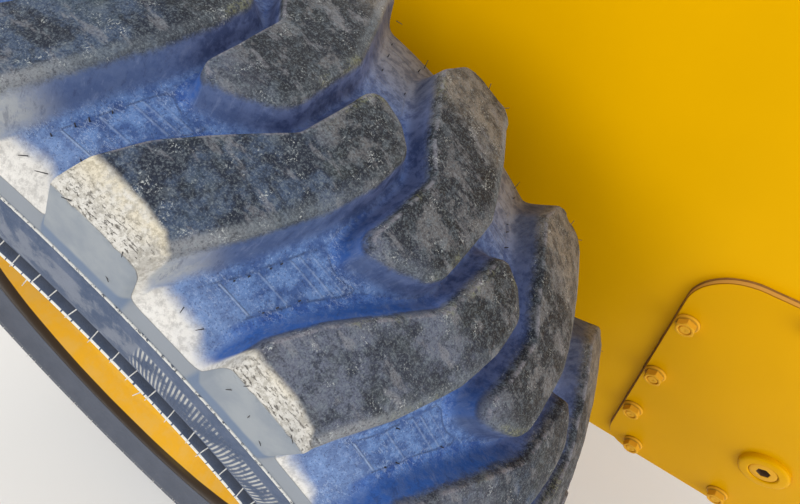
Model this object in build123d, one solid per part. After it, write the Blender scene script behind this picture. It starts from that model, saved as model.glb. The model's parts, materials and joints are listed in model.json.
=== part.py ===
from build123d import *

import os
from math import cos, pi, radians, sin, tan

# Drive wheel of a skid steer loader on its axle, with the section of chain case that carries it.
#
# Millimetres. The origin is on the chain case's inboard face, where it bolts to the machine, on the
# wheel's axis. +Y points inboard, into the machine, and the wheel stands outboard, at -Y. +X runs along the
# chassis towards the inspection cover between the wheels, and +Z is up. The axle and its housing are turned
# round, and the wheel's large rings have flat facets, one boundary to each half pitch of the tread.

# Chain case and its side plate: X along the machine, Z up, axle at (0, 0)
PLATE_T = 10.0
PLATE_REAR_X = -330.0
PLATE_FRONT_X = 740.0
PLATE_BOTTOM_Z = -196.0
PLATE_TOP_Z = 420.0
PLATE_CORNER_R = 40.0
REAR_SLOPE_RUN = 110.0
REAR_SLOPE_RISE = 130.0
CASE_DEPTH = 170.0
CASE_TOP_Z = 215.0
CASE_WALL_T = 8.0
CASE_WALL_INSET = 14.0
TOP_FLANGE_WIDTH = 60.0
CASE_WALLS = ("case_floor", "case_front", "case_top", "case_rear", "case_slope")

# Bolts through the chain case's inboard wall: how far they lie inside its edges
CASE_BOLT_REAR_INSET = 125.0
CASE_BOLT_FRONT_INSET = 105.0
CASE_BOLT_BOTTOM_INSET = 46.0
CASE_BOLT_TOP_INSET = 65.0
CASE_BOLT_HOLE_R = 8.75

# Inspection cover between the wheels, bedded on sealant, and its opening in the side plate
COVER_T = 8.0
COVER_REAR_X = 425.0
COVER_FRONT_X = 697.0
COVER_BOTTOM_Z = -190.0
COVER_TOP_Z = 155.0
COVER_TOP_R = 50.0
COVER_BOTTOM_R = 32.0
COVER_LAND = 36.0
SEALANT_T = 1.0
SEALANT_PROUD = 2.5
SEALANT_WIDTH = 12.0

# Cover nuts: how far the rows lie inside the cover's edge, and their places along them
NUT_ROW_INSET = 12.0
NUT_SIDE_Z = (77.0, -19.0, -100.0)
NUT_FOOT_INSET = 22.0
NUT_CORNER_INSET = 33.0
NUT_TOP_HALF_SPAN = 38.0
NUT_FLATS = 17.0
NUT_H = 11.0
NUT_FLANGE_R = 12.8
NUT_FLANGE_H = 3.0
NUT_FLANGE_SIDES = 12

# Oil plug, screwed into a bung on the cover until its face is a little below the bung's
PLUG_X = 574.0
PLUG_Z = -76.0
PLUG_BUNG_R = 26.0
PLUG_BUNG_H = 7.0
PLUG_R = 16.0
PLUG_SIDES = 24
PLUG_CLEARANCE = 0.3
PLUG_RECESS = 1.0
PLUG_SOCKET_FLATS = 14.0
PLUG_SOCKET_DEPTH = 8.0

# Wheel: its mid plane stands this far outboard of the side plate's outer face
WHEEL_GAP = 234.0
WHEEL_FACETS = 40
WHEEL_FACET_TURN = 1.7

# Rim, 16.5 x 9.75 inch drop centre with 15 degree bead seats
RIM_HALF_W = 124.0
RIM_SEAT_R = 211.0
RIM_SEAT_W = 28.0
RIM_SEAT_SLOPE = 15.0
RIM_FLANGE_H = 11.5
RIM_WELL_R = 178.0
RIM_WELL_OUT_Y = -62.0
RIM_WELL_IN_Y = 26.0
RIM_T = 6.0

# Wheel disc, dished outboard and welded inside the rim's well
DISC_T = 10.0
DISC_BACK_Y = 10.0
DISC_BORE_R = 76.2
DISC_FLAT_MARGIN = 24.4
DISC_SHELF_W = 21.7
DISC_CREST_RISE = 30.0
DISC_SKIRT_W = 26.0
WELD_GAP = 0.3

# Wheel nuts on an 8 inch circle
WHEEL_NUTS = 8
WHEEL_PCD = 203.2
WHEEL_NUT_FLATS = 27.0
WHEEL_NUT_H = 24.0

# Tyre, 12-16.5: 831 mm over the bars, 310 mm wide
TYRE_R = 415.5
BEAD_GAP = 0.3
BEAD_TOE_H = 12.0

# Half sections of the tyre's tread: (depth below TYRE_R, distance from the tread's centre)
TREAD_FLOOR = [(25.0, 30.0), (35.5, 92.0), (57.5, 136.0), (72.5, 142.0)]
TREAD_INSIDE = [(43.5, 85.0)]
BAR_CROWN = [(0.0, 12.0), (7.5, 78.0), (21.0, 131.0), (65.5, 145.0)]
BAR_ROOT = [(33.5, 30.0), (40.5, 92.0), (77.5, 139.0)]

# Half sections of its sidewall: (height above the rim's bead seat, distance from the tread's centre)
SIDEWALL = [(93.0, 155.0), (51.0, 146.0), (44.0, 149.0), (19.0, 133.0)]
SIDEWALL_INSIDE = [(93.0, 141.0)]

# Tread bars, 20 a side. The inboard ones are laid out outboard too, then mirrored and turned by half a pitch.
BAR_PITCHES = 20
BAR_MIDDLE = 29.0
BAR_DEPTH = 90.0

# Tops of a bar of each side: (distance inboard of the tread's centre, degrees round the tyre from its top)
OUTBOARD_BAR = [
    (-150.0, 21.0), (-110.0, 22.2), (-62.0, 26.0), (-27.0, 30.2), (36.0, 30.5),
    (21.0, 36.4), (-49.0, 36.0), (-88.0, 32.6), (-150.0, 30.0),
]
INBOARD_BAR = [
    (-150.0, 26.2), (-104.0, 23.8), (-62.0, 26.6), (-27.0, 30.2), (40.0, 30.3),
    (20.0, 36.9), (-49.0, 36.8), (-88.0, 34.2), (-150.0, 31.5),
]

# Axle: hub flange with its pilot, and the shaft with its end inside the chain case
HUB_FLANGE_MARGIN = 20.4
HUB_FLANGE_T = 16.0
HUB_PILOT_CLEARANCE = 0.4
HUB_PILOT_PROUD = 12.0
HUB_DISH_R = 52.0
HUB_DISH_DEPTH = 8.0
SHAFT_R = 32.0
SHAFT_REACH = 112.0

# Axle housing: a tube that carries the axle, welded through a flange that is bolted to the side plate
HOUSING_GAP = 8.0
HOUSING_R = 68.0
HOUSING_MOUTH_R = 80.0
HOUSING_MOUTH_LEN = 34.0
HOUSING_CLEARANCE = 0.3
RUNNING_CLEARANCE = 0.05
HOUSING_FLANGE_MARGIN = 25.0
HOUSING_FLANGE_T = 18.0
HOUSING_FLANGE_FACETS = 40
HOUSING_BOLTS = 8
HOUSING_PCD = 260.0
BOLT_FLATS = 24.0
BOLT_HEAD_H = 10.0

# Gussets between the tube and its flange
GUSSETS = 8
GUSSET_T = 10.0
GUSSET_REACH = 48.0
GUSSET_RISE = 100.0
GUSSET_TIP = 6.0

# Faces that follow from the sizes above
PLATE_OUT_Y = -CASE_DEPTH
PLATE_IN_Y = PLATE_OUT_Y + PLATE_T
COVER_BACK_Y = PLATE_OUT_Y - SEALANT_T
COVER_OUT_Y = COVER_BACK_Y - COVER_T
COVER_MID_X = (COVER_REAR_X + COVER_FRONT_X) / 2
PLUG_FACE_Y = COVER_OUT_Y - PLUG_BUNG_H + PLUG_RECESS
WHEEL_Y = PLATE_OUT_Y - WHEEL_GAP
DISC_FACE_Y = WHEEL_Y + DISC_BACK_Y - DISC_T
HUB_FACE_Y = WHEEL_Y + DISC_BACK_Y
HUB_BACK_Y = HUB_FACE_Y + HUB_FLANGE_T
HOUSING_MOUTH_Y = HUB_BACK_Y + HOUSING_GAP
HOUSING_FLANGE_Y = PLATE_OUT_Y - HOUSING_FLANGE_T
RIM_FLANGE_R = RIM_SEAT_R + RIM_FLANGE_H
DISC_OUTER_R = RIM_WELL_R - RIM_T - WELD_GAP
DISC_FLAT_R = WHEEL_PCD / 2 + DISC_FLAT_MARGIN
HUB_FLANGE_R = WHEEL_PCD / 2 + HUB_FLANGE_MARGIN
HUB_PILOT_R = DISC_BORE_R - HUB_PILOT_CLEARANCE
HOUSING_FLANGE_R = HOUSING_PCD / 2 + HOUSING_FLANGE_MARGIN


def facing(y):
    """A plane square to the axle at y: its X and Y are the model's X and Z, and its normal is -Y."""
    return Plane(origin=(0, y, 0), x_dir=(1, 0, 0), z_dir=(0, -1, 0))


def outward(sketch, y, depth):
    """The sketch on the plane at y, thickened outboard by depth."""
    return extrude(facing(y) * sketch, depth)


def around(count, radius):
    """(x, z) places evenly spaced on a circle about the axle, the first one level with it."""
    turns = [2 * pi * i / count for i in range(count)]
    return [(radius * cos(turn), radius * sin(turn)) for turn in turns]


def at(radius, y, angle):
    """The point at an angle in degrees round the axle, from the top towards +X."""
    turn = radians(angle)
    return (radius * sin(turn), y, radius * cos(turn))


def turned(points):
    """A solid of revolution about the axle from (radius, y) points."""
    return revolve(Plane.XY * make_face(Polyline(*points, close=True)), Axis.Y)


def wheel_ring(points):
    """The same about the wheel, in flat facets, from (radius, distance inboard of the wheel's middle) points."""
    step = 360 / WHEEL_FACETS
    faces = []
    for i in range(WHEEL_FACETS):
        start = i * step + WHEEL_FACET_TURN
        end = start + step
        for (r, y), (next_r, next_y) in zip(points, points[1:] + points[:1]):
            y += WHEEL_Y
            next_y += WHEEL_Y
            corners = [at(r, y, start), at(next_r, next_y, start), at(next_r, next_y, end), at(r, y, end)]
            faces.append(make_face(Polyline(*corners, close=True)))
    return Solid(Shell(faces))


def facet_corner(radius):
    """Radius to a facet's corner, for facets whose flats touch the given radius."""
    return radius / cos(pi / WHEEL_FACETS)


def both_sides(half):
    """A half section that starts at the centre, from its outboard end to its inboard end."""
    return [(r, -y) for r, y in reversed(half)] + half


def beside(points, distance, closed=False):
    """A line of points moved square to itself, to its left, with its corners mitred."""
    last = len(points) - 1
    moved = []
    for i, point in enumerate(points):
        here = Vector(*point)
        runs = []
        if closed or i > 0:
            runs.append(here - Vector(*points[i - 1]))
        if closed or i < last:
            runs.append(Vector(*points[(i + 1) % len(points)]) - here)
        squares = [Vector(-run.Y, run.X).normalized() for run in runs]
        middle = (squares[0] + squares[-1]).normalized()
        there = here + middle * (distance / middle.dot(squares[0]))
        moved.append((there.X, there.Y))
    return moved


def rounded(low_x, high_x, low_z, high_z, low_r, high_r):
    """A rectangle with one corner radius at its bottom and another at its top."""
    corners = [(low_x, low_z), (high_x, low_z), (high_x, high_z), (low_x, high_z)]
    outline = make_face(Polyline(*corners, close=True))
    bottom = outline.vertices().group_by(Axis.Y)[0]
    outline = fillet(bottom, low_r)
    return fillet(outline.vertices().group_by(Axis.Y)[-1], high_r)


def hexagon(flats):
    return RegularPolygon(flats / 2, 6, major_radius=False)


def case_corners(top_z=CASE_TOP_Z):
    """The chain case's outline, from the foot of its rear slope round to the slope's head."""
    return [
        (PLATE_REAR_X + REAR_SLOPE_RUN, PLATE_BOTTOM_Z),
        (PLATE_FRONT_X, PLATE_BOTTOM_Z),
        (PLATE_FRONT_X, top_z),
        (PLATE_REAR_X, top_z),
        (PLATE_REAR_X, PLATE_BOTTOM_Z + REAR_SLOPE_RISE),
    ]


def side_plate():
    outline = make_face(Polyline(*case_corners(PLATE_TOP_Z), close=True))
    outline = fillet(outline.vertices().group_by(Axis.Y)[-1], PLATE_CORNER_R)
    opening = rounded(
        COVER_REAR_X + COVER_LAND, COVER_FRONT_X - COVER_LAND,
        COVER_BOTTOM_Z + COVER_LAND, COVER_TOP_Z - COVER_LAND,
        COVER_BOTTOM_R, COVER_BOTTOM_R,
    )
    return outward(outline - [opening, Circle(HOUSING_R + HOUSING_CLEARANCE)], PLATE_IN_Y, PLATE_T)


def inner_wall():
    holes = [
        Pos(x, z) * Circle(CASE_BOLT_HOLE_R)
        for x in (PLATE_REAR_X + CASE_BOLT_REAR_INSET, PLATE_FRONT_X - CASE_BOLT_FRONT_INSET)
        for z in (PLATE_BOTTOM_Z + CASE_BOLT_BOTTOM_INSET, CASE_TOP_Z - CASE_BOLT_TOP_INSET)
    ]
    return outward(make_face(Polyline(*case_corners(), close=True)) - holes, 0, CASE_WALL_T)


def case_wall(side):
    """The wall between the two plates along one side of the case, mitred to its neighbours."""
    outer = beside(case_corners(), CASE_WALL_INSET, closed=True)
    inner = beside(case_corners(), CASE_WALL_INSET + CASE_WALL_T, closed=True)
    end = (side + 1) % len(outer)
    strip = make_face(Polyline(outer[side], outer[end], inner[end], inner[side], close=True))
    return outward(strip, -CASE_WALL_T, CASE_DEPTH - PLATE_T - CASE_WALL_T)


def top_flange():
    low_x = PLATE_REAR_X + PLATE_CORNER_R
    high_x = PLATE_FRONT_X - PLATE_CORNER_R
    centre = (
        (low_x + high_x) / 2,
        PLATE_IN_Y + TOP_FLANGE_WIDTH / 2,
        PLATE_TOP_Z - CASE_WALL_T / 2,
    )
    return Pos(*centre) * Box(high_x - low_x, TOP_FLANGE_WIDTH, CASE_WALL_T)


def inspection_cover():
    outline = rounded(
        COVER_REAR_X, COVER_FRONT_X, COVER_BOTTOM_Z, COVER_TOP_Z, COVER_BOTTOM_R, COVER_TOP_R
    )
    place = Pos(PLUG_X, PLUG_Z)
    bore = place * Circle(PLUG_R + PLUG_CLEARANCE)
    bung = place * Circle(PLUG_BUNG_R) - bore
    return outward(outline - bore, COVER_BACK_Y, COVER_T) + outward(bung, COVER_OUT_Y, PLUG_BUNG_H)


def cover_sealant():
    squeezed = rounded(
        COVER_REAR_X - SEALANT_PROUD, COVER_FRONT_X + SEALANT_PROUD,
        COVER_BOTTOM_Z - SEALANT_PROUD, COVER_TOP_Z + SEALANT_PROUD,
        COVER_BOTTOM_R + SEALANT_PROUD, COVER_TOP_R + SEALANT_PROUD,
    )
    middle = rounded(
        COVER_REAR_X + SEALANT_WIDTH, COVER_FRONT_X - SEALANT_WIDTH,
        COVER_BOTTOM_Z + SEALANT_WIDTH, COVER_TOP_Z - SEALANT_WIDTH,
        COVER_BOTTOM_R - SEALANT_WIDTH, COVER_TOP_R - SEALANT_WIDTH,
    )
    return outward(squeezed - middle, PLATE_OUT_Y, SEALANT_T)


def cover_nut_places():
    sides = (COVER_REAR_X + NUT_ROW_INSET, COVER_FRONT_X - NUT_ROW_INSET)
    places = [(x, z) for x in sides for z in NUT_SIDE_Z]
    foot_x = (COVER_REAR_X + NUT_CORNER_INSET, COVER_MID_X, COVER_FRONT_X - NUT_CORNER_INSET)
    places += [(x, COVER_BOTTOM_Z + NUT_FOOT_INSET) for x in foot_x]
    top_x = (COVER_MID_X - NUT_TOP_HALF_SPAN, COVER_MID_X + NUT_TOP_HALF_SPAN)
    return places + [(x, COVER_TOP_Z - NUT_ROW_INSET) for x in top_x]


def cover_nuts():
    flange = RegularPolygon(NUT_FLANGE_R, NUT_FLANGE_SIDES)
    nut = outward(flange, COVER_OUT_Y, NUT_FLANGE_H) + outward(hexagon(NUT_FLATS), COVER_OUT_Y, NUT_H)
    return [Pos(x, 0, z) * nut for x, z in cover_nut_places()]


def oil_plug():
    place = Pos(PLUG_X, PLUG_Z)
    plug = outward(place * RegularPolygon(PLUG_R, PLUG_SIDES), COVER_BACK_Y, COVER_BACK_Y - PLUG_FACE_Y)
    socket = place * hexagon(PLUG_SOCKET_FLATS)
    return plug - outward(socket, PLUG_FACE_Y + PLUG_SOCKET_DEPTH, PLUG_SOCKET_DEPTH)


def axle_housing():
    bore_r = SHAFT_R + RUNNING_CLEARANCE
    return turned([
        (bore_r, HOUSING_MOUTH_Y),
        (HOUSING_MOUTH_R, HOUSING_MOUTH_Y),
        (HOUSING_MOUTH_R, HOUSING_MOUTH_Y + HOUSING_MOUTH_LEN),
        (HOUSING_R, HOUSING_MOUTH_Y + HOUSING_MOUTH_LEN),
        (HOUSING_R, PLATE_IN_Y),
        (bore_r, PLATE_IN_Y),
    ])


def housing_flange():
    outline = RegularPolygon(HOUSING_FLANGE_R, HOUSING_FLANGE_FACETS) - Circle(HOUSING_R + HOUSING_CLEARANCE)
    return outward(outline, PLATE_OUT_Y, HOUSING_FLANGE_T)


def housing_gussets():
    outline = [
        (HOUSING_R, HOUSING_FLANGE_Y),
        (HOUSING_R + GUSSET_REACH, HOUSING_FLANGE_Y),
        (HOUSING_R + GUSSET_REACH, HOUSING_FLANGE_Y - GUSSET_TIP),
        (HOUSING_R + GUSSET_TIP, HOUSING_FLANGE_Y - GUSSET_RISE),
        (HOUSING_R, HOUSING_FLANGE_Y - GUSSET_RISE),
    ]
    gusset = extrude(Plane.XY * make_face(Polyline(*outline, close=True)), GUSSET_T / 2, both=True)
    return [Rot(0, 360 * (i + 0.5) / GUSSETS, 0) * gusset for i in range(GUSSETS)]


def housing_bolts():
    head = outward(hexagon(BOLT_FLATS), HOUSING_FLANGE_Y, BOLT_HEAD_H)
    return [Pos(x, 0, z) * head for x, z in around(HOUSING_BOLTS, HOUSING_PCD / 2)]


def axle_shaft():
    pilot_y = HUB_FACE_Y - HUB_PILOT_PROUD
    return turned([
        (0, pilot_y + HUB_DISH_DEPTH),
        (HUB_DISH_R, pilot_y + HUB_DISH_DEPTH),
        (HUB_DISH_R, pilot_y),
        (HUB_PILOT_R, pilot_y),
        (HUB_PILOT_R, HUB_FACE_Y),
        (HUB_FLANGE_R, HUB_FACE_Y),
        (HUB_FLANGE_R, HUB_BACK_Y),
        (SHAFT_R, HUB_BACK_Y),
        (SHAFT_R, PLATE_IN_Y + SHAFT_REACH),
        (0, PLATE_IN_Y + SHAFT_REACH),
    ])


def wheel_nuts():
    nut = outward(hexagon(WHEEL_NUT_FLATS), DISC_FACE_Y, WHEEL_NUT_H)
    return [Pos(x, 0, z) * nut for x, z in around(WHEEL_NUTS, WHEEL_PCD / 2)]


def wheel_disc():
    bore_r = facet_corner(DISC_BORE_R)
    crest_r = DISC_OUTER_R - DISC_SHELF_W
    crest_y = DISC_BACK_Y - DISC_T - DISC_CREST_RISE
    return wheel_ring([
        (bore_r, DISC_BACK_Y),
        (DISC_FLAT_R, DISC_BACK_Y),
        (crest_r, crest_y + DISC_T),
        (DISC_OUTER_R - DISC_T, crest_y + DISC_T),
        (DISC_OUTER_R - DISC_T, crest_y + DISC_SKIRT_W),
        (DISC_OUTER_R, crest_y + DISC_SKIRT_W),
        (DISC_OUTER_R, crest_y),
        (crest_r - DISC_T / 2, crest_y),
        (DISC_FLAT_R - DISC_T / 2, DISC_BACK_Y - DISC_T),
        (bore_r, DISC_BACK_Y - DISC_T),
    ])


def bead_toe():
    """Inner end of the rim's inboard bead seat."""
    return (RIM_SEAT_R - RIM_SEAT_W * tan(radians(RIM_SEAT_SLOPE)), RIM_HALF_W - RIM_SEAT_W)


def rim_barrel():
    inboard = [bead_toe(), (RIM_SEAT_R, RIM_HALF_W), (RIM_FLANGE_R, RIM_HALF_W)]
    outboard = [(r, -y) for r, y in reversed(inboard)]
    line = outboard + [(RIM_WELL_R, RIM_WELL_OUT_Y), (RIM_WELL_R, RIM_WELL_IN_Y)] + inboard
    back = beside(line, RIM_T)
    return wheel_ring(line + back[::-1])


def below_crown(half):
    return [(TYRE_R - depth, y) for depth, y in half]


def above_seat(half):
    return [(RIM_SEAT_R + height, y) for height, y in half]


def tyre():
    toe_r, toe_y = bead_toe()
    bead = [
        (RIM_FLANGE_R + BEAD_GAP, RIM_HALF_W + RIM_T),
        (RIM_FLANGE_R + BEAD_GAP, RIM_HALF_W - BEAD_GAP),
        (RIM_SEAT_R + BEAD_GAP, RIM_HALF_W - BEAD_GAP),
        (toe_r + BEAD_GAP, toe_y),
    ]
    outside = below_crown(TREAD_FLOOR) + above_seat(SIDEWALL) + bead
    inside = below_crown(TREAD_INSIDE) + above_seat(SIDEWALL_INSIDE) + [(toe_r + BEAD_TOE_H, toe_y)]
    return wheel_ring(both_sides(outside) + both_sides(inside)[::-1]) + tread_bars()


def flat_bar(outline):
    """A bar's top laid flat on the plane that touches the tyre at the bar's middle."""
    return [(y, -TYRE_R * tan(radians(angle - BAR_MIDDLE))) for y, angle in outline]


def tread_bars():
    crown = [(facet_corner(r), y) for r, y in below_crown(BAR_CROWN)]
    tread = wheel_ring(both_sides(crown) + both_sides(below_crown(BAR_ROOT))[::-1])
    tangent = Plane(
        origin=at(TYRE_R, WHEEL_Y, BAR_MIDDLE), x_dir=(0, 1, 0), z_dir=at(1, 0, BAR_MIDDLE)
    )
    outboard, inboard = [
        extrude(tangent * make_face(Polyline(*flat_bar(outline), close=True)), -BAR_DEPTH) & tread
        for outline in (OUTBOARD_BAR, INBOARD_BAR)
    ]
    inboard = Rot(0, 180 / BAR_PITCHES, 0) * mirror(inboard, Plane.XZ.offset(-WHEEL_Y))
    return [
        Rot(0, 360 * i / BAR_PITCHES, 0) * bar for i in range(BAR_PITCHES) for bar in (outboard, inboard)
    ]


NODES = {
    "side_plate": side_plate,
    "inner_wall": inner_wall,
    **{name: lambda side=side: case_wall(side) for side, name in enumerate(CASE_WALLS)},
    "top_flange": top_flange,
    "inspection_cover": inspection_cover,
    "cover_sealant": cover_sealant,
    "cover_nuts": cover_nuts,
    "oil_plug": oil_plug,
    "axle_housing": axle_housing,
    "housing_flange": housing_flange,
    "housing_gussets": housing_gussets,
    "housing_bolts": housing_bolts,
    "axle_shaft": axle_shaft,
    "wheel_nuts": wheel_nuts,
    "wheel_disc": wheel_disc,
    "rim_barrel": rim_barrel,
    "tyre": tyre,
}

os.makedirs("parts", exist_ok=True)
for name, make in NODES.items():
    made = make()
    pieces = made if isinstance(made, list) else [made]
    solids = [solid for piece in pieces for solid in piece.solids()]
    export_step(Compound(children=solids), f"parts/{name}.step")
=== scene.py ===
import json
import math
from functools import partialmethod

import bmesh
import bpy
import numpy as np
from mathutils import Matrix, Vector, noise
from mathutils.geometry import delaunay_2d_cdt, tessellate_polygon


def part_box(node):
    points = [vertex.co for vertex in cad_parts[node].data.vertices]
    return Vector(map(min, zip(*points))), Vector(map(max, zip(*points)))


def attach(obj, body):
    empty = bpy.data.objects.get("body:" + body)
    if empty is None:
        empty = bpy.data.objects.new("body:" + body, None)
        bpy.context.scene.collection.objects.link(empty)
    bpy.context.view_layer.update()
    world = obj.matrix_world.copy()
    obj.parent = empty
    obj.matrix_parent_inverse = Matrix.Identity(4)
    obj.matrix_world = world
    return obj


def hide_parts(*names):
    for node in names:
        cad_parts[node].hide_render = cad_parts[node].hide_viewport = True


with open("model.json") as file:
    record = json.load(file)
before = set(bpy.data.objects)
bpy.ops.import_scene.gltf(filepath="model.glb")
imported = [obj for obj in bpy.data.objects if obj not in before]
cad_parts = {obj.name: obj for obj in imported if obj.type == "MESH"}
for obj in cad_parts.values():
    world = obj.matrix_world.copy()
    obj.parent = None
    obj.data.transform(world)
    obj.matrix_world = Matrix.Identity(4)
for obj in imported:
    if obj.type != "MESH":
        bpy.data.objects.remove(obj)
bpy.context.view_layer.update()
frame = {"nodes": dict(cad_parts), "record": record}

# Looks of a skid steer loader's drive wheel, its axle and the chain case section that carries it.
# Lengths are in millimetres in the shape functions and become metres in add_piece. Angles round the wheel are
# in degrees from its top towards +X. A wheel outline is (r, y) from the axis and the wheel's middle.

MM = 0.001
rng = np.random.default_rng(4)

tyre_low, tyre_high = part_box("tyre")
WHEEL_Y = (tyre_low.y + tyre_high.y) / 2 / MM


def faces_of(node):
    """The y of a node's outboard and inboard faces, in mm."""
    low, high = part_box(node)
    return low.y / MM, high.y / MM


PLATE_FACE_Y, PLATE_BACK_Y = faces_of("side_plate")
COVER_FACE_Y = faces_of("cover_nuts")[1] + 1.5
DISC_FACE_Y = faces_of("wheel_nuts")[1]


# Shapes

def unit(rows):
    """Each row brought to a length of 1."""
    return rows / np.linalg.norm(rows, axis=1)[:, None]


def full_turn(count):
    """Evenly spaced angles round a circle, in radians."""
    return np.arange(count) * 2 * math.pi / count


SIDE_SHARE = 0.48


def rounded(points, radius, closed=False, step=15.0):
    """The outline with its corners rounded, less where a side is short. The radius may be a list."""
    points = [np.array(p, float) for p in points]
    radii = radius if isinstance(radius, (list, tuple)) else [radius] * len(points)
    out = []
    for i, here in enumerate(points):
        if radii[i] == 0 or not closed and i in (0, len(points) - 1):
            out.append(here)
            continue
        run_in, run_out = here - points[i - 1], points[(i + 1) % len(points)] - here
        room = SIDE_SHARE * min(np.linalg.norm(run_in), np.linalg.norm(run_out))
        run_in /= np.linalg.norm(run_in)
        run_out /= np.linalg.norm(run_out)
        turn = math.atan2(run_in[0] * run_out[1] - run_in[1] * run_out[0], run_in @ run_out)
        half = abs(math.tan(turn / 2))
        if half < 1e-4:
            out.append(here)
            continue
        reach = min(radii[i] * half, room)
        square = np.array([-run_in[1], run_in[0]]) * math.copysign(1, turn)
        count = max(1, math.ceil(abs(math.degrees(turn)) / step))
        for angle in np.linspace(0, abs(turn), count + 1):
            swing = run_in * math.sin(angle) + square * (1 - math.cos(angle))
            out.append(here - run_in * reach + swing * reach / half)
    return out


def beside(points, distance):
    """An open outline moved square to itself, to its left."""
    points = np.array(points, float)
    runs = unit(np.diff(points, axis=0))
    along = unit(np.vstack([runs[:1], runs[:-1] + runs[1:], runs[-1:]]))
    return list(points + distance * np.stack([-along[:, 1], along[:, 0]], 1))


def inset(points, distance):
    """A closed outline moved to its left, with its corners mitred."""
    points = np.array(points, float)
    runs = unit(np.roll(points, -1, axis=0) - points)
    square = np.stack([-runs[:, 1], runs[:, 0]], 1)
    middle = unit(square + np.roll(square, 1, axis=0))
    return points + middle * (distance / (middle * square).sum(1))[:, None]


def circle(x, z, radius, count=32):
    """A clockwise outline, for a hole."""
    turns = -full_turn(count)
    return np.stack([x + radius * np.cos(turns), z + radius * np.sin(turns)], 1)


def revolve(profile, count, closed=True):
    """Vertices and quads of a wheel outline turned about the wheel's axis."""
    turns = full_turn(count)
    r, y = np.array(profile, float).T
    x, z = np.outer(np.sin(turns), r), np.outer(np.cos(turns), r)
    return swept(np.stack([x, np.broadcast_to(y, x.shape), z], -1), closed=True, looped=closed)


TURNED_SIDES = 24


def turned(rows, count=TURNED_SIDES):
    """A closed solid turned about Y from (radius, distance outboard) rows, each a number or one a turn."""
    turns = full_turn(count)
    rings = []
    for radius, out in rows:
        r = np.broadcast_to(radius, count)
        rings.append(np.stack([r * np.sin(turns), -np.broadcast_to(out, count), r * np.cos(turns)], 1))
    return swept(np.array(rings))


def hexagonal(flats):
    """The radius of a hexagon at each turn of a turned solid."""
    return flats / 2 / np.cos(full_turn(TURNED_SIDES) % (math.pi / 3) - math.pi / 6)


def plate(outlines, face_y, back_y, chamfer=1.2):
    """A flat plate from closed (x, z) outlines, the outer one anticlockwise and its holes clockwise."""
    verts, faces, fronts, backs, loops = [], [], [], [], []
    for outline in outlines:
        count, base = len(outline), len(verts)
        small = inset(outline, chamfer)
        rows = (small, face_y), (outline, face_y + chamfer), (outline, back_y - chamfer), (small, back_y)
        for flat, y in rows:
            verts += [(x, y, z) for x, z in flat]
        for row in (base, base + count, base + 2 * count):
            pairs = [(row + i, row + (i + 1) % count) for i in range(count)]
            faces += [(this, following, following + count, this + count) for this, following in pairs]
        fronts += range(base, base + count)
        backs += range(base + 3 * count, base + 4 * count)
        loops.append([Vector((x, z, 0)) for x, z in small])
    for triangle in tessellate_polygon(loops):
        faces.append(tuple(fronts[i] for i in triangle))
        faces.append(tuple(backs[i] for i in reversed(triangle)))
    return verts, faces


def swept(rings, closed=False, looped=True):
    """A tube through rings of points, an array of (ring, point, xyz), each ring looped or left open."""
    total, count = rings.shape[:2]
    faces = []
    for i in range(total if closed else total - 1):
        this, following = i * count, (i + 1) % total * count
        for j in range(count if looped else count - 1):
            k = (j + 1) % count
            faces.append((this + j, following + j, following + k, this + k))
    if not closed:
        faces.append(tuple(range(count)))
        faces.append(tuple((total - 1) * count + j for j in reversed(range(count))))
    return rings.reshape(-1, 3), faces


def run_along(path):
    """Distance of each point from the first one, along the path."""
    return np.concatenate([[0], np.cumsum(np.linalg.norm(np.diff(path, axis=0), axis=1))])


WELD_SECTION = np.array([(-0.25, -0.25), (1.0, -0.1), (0.74, 0.44), (0.44, 0.74), (-0.1, 1.0)])
WELD_PITCH = 4.6
WELD_RIPPLE = 0.10
WELD_DRIFT = 0.2
WELD_DRIFT_RUN = 23.0


def weld(path, first, second, leg, closed=False):
    """A rippled fillet weld along a path, in the corner between two directions."""
    path = np.array(path, float)
    run = run_along(path)
    drift = np.array([noise.noise(Vector(p) / WELD_DRIFT_RUN) for p in path])
    size = leg * (1 + WELD_RIPPLE * np.sin(2 * math.pi * run / WELD_PITCH) + WELD_DRIFT * drift)
    across = WELD_SECTION[None, :, :, None] * size[:, None, None, None]
    first, second = np.broadcast_to(first, path.shape), np.broadcast_to(second, path.shape)
    rings = path[:, None] + across[:, :, 0] * first[:, None] + across[:, :, 1] * second[:, None]
    return swept(rings, closed)


def straight(start, end, step=WELD_PITCH / 4):
    start, end = np.array(start, float), np.array(end, float)
    count = max(2, round(np.linalg.norm(end - start) / step))
    return start + (end - start) * np.linspace(0, 1, count)[:, None]


def ring_weld(radius, y, leg, inwards=False):
    """A fillet weld round the axis, on the outboard side of y."""
    count = round(2 * math.pi * radius / WELD_PITCH) * 4
    turns = full_turn(count)
    outward = np.stack([np.sin(turns), np.zeros(count), np.cos(turns)], 1)
    return weld(outward * radius + (0, y, 0), -outward if inwards else outward, (0, -1, 0), leg, closed=True)


WHISKER_SIDES = 5
WHISKER_TWIST = (0.31, 0.53, 0.79)


def whisker(points, radii):
    """A thin tapered tube along a few points."""
    points = np.array(points, float)
    along = unit(np.gradient(points, axis=0))
    side = unit(np.cross(along, along[0] + WHISKER_TWIST))
    other = np.cross(along, side)
    turns = full_turn(WHISKER_SIDES)[None, :, None]
    around = np.cos(turns) * side[:, None] + np.sin(turns) * other[:, None]
    return swept(points[:, None] + around * np.array(radii)[:, None, None])


def joined(parts):
    """One list of vertices and faces from several."""
    verts, faces, base = [], [], 0
    for part_verts, part_faces in parts:
        verts.append(np.asarray(part_verts, float))
        faces += [tuple(base + v for v in face) for face in part_faces]
        base += len(part_verts)
    return np.vstack(verts), faces


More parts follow.
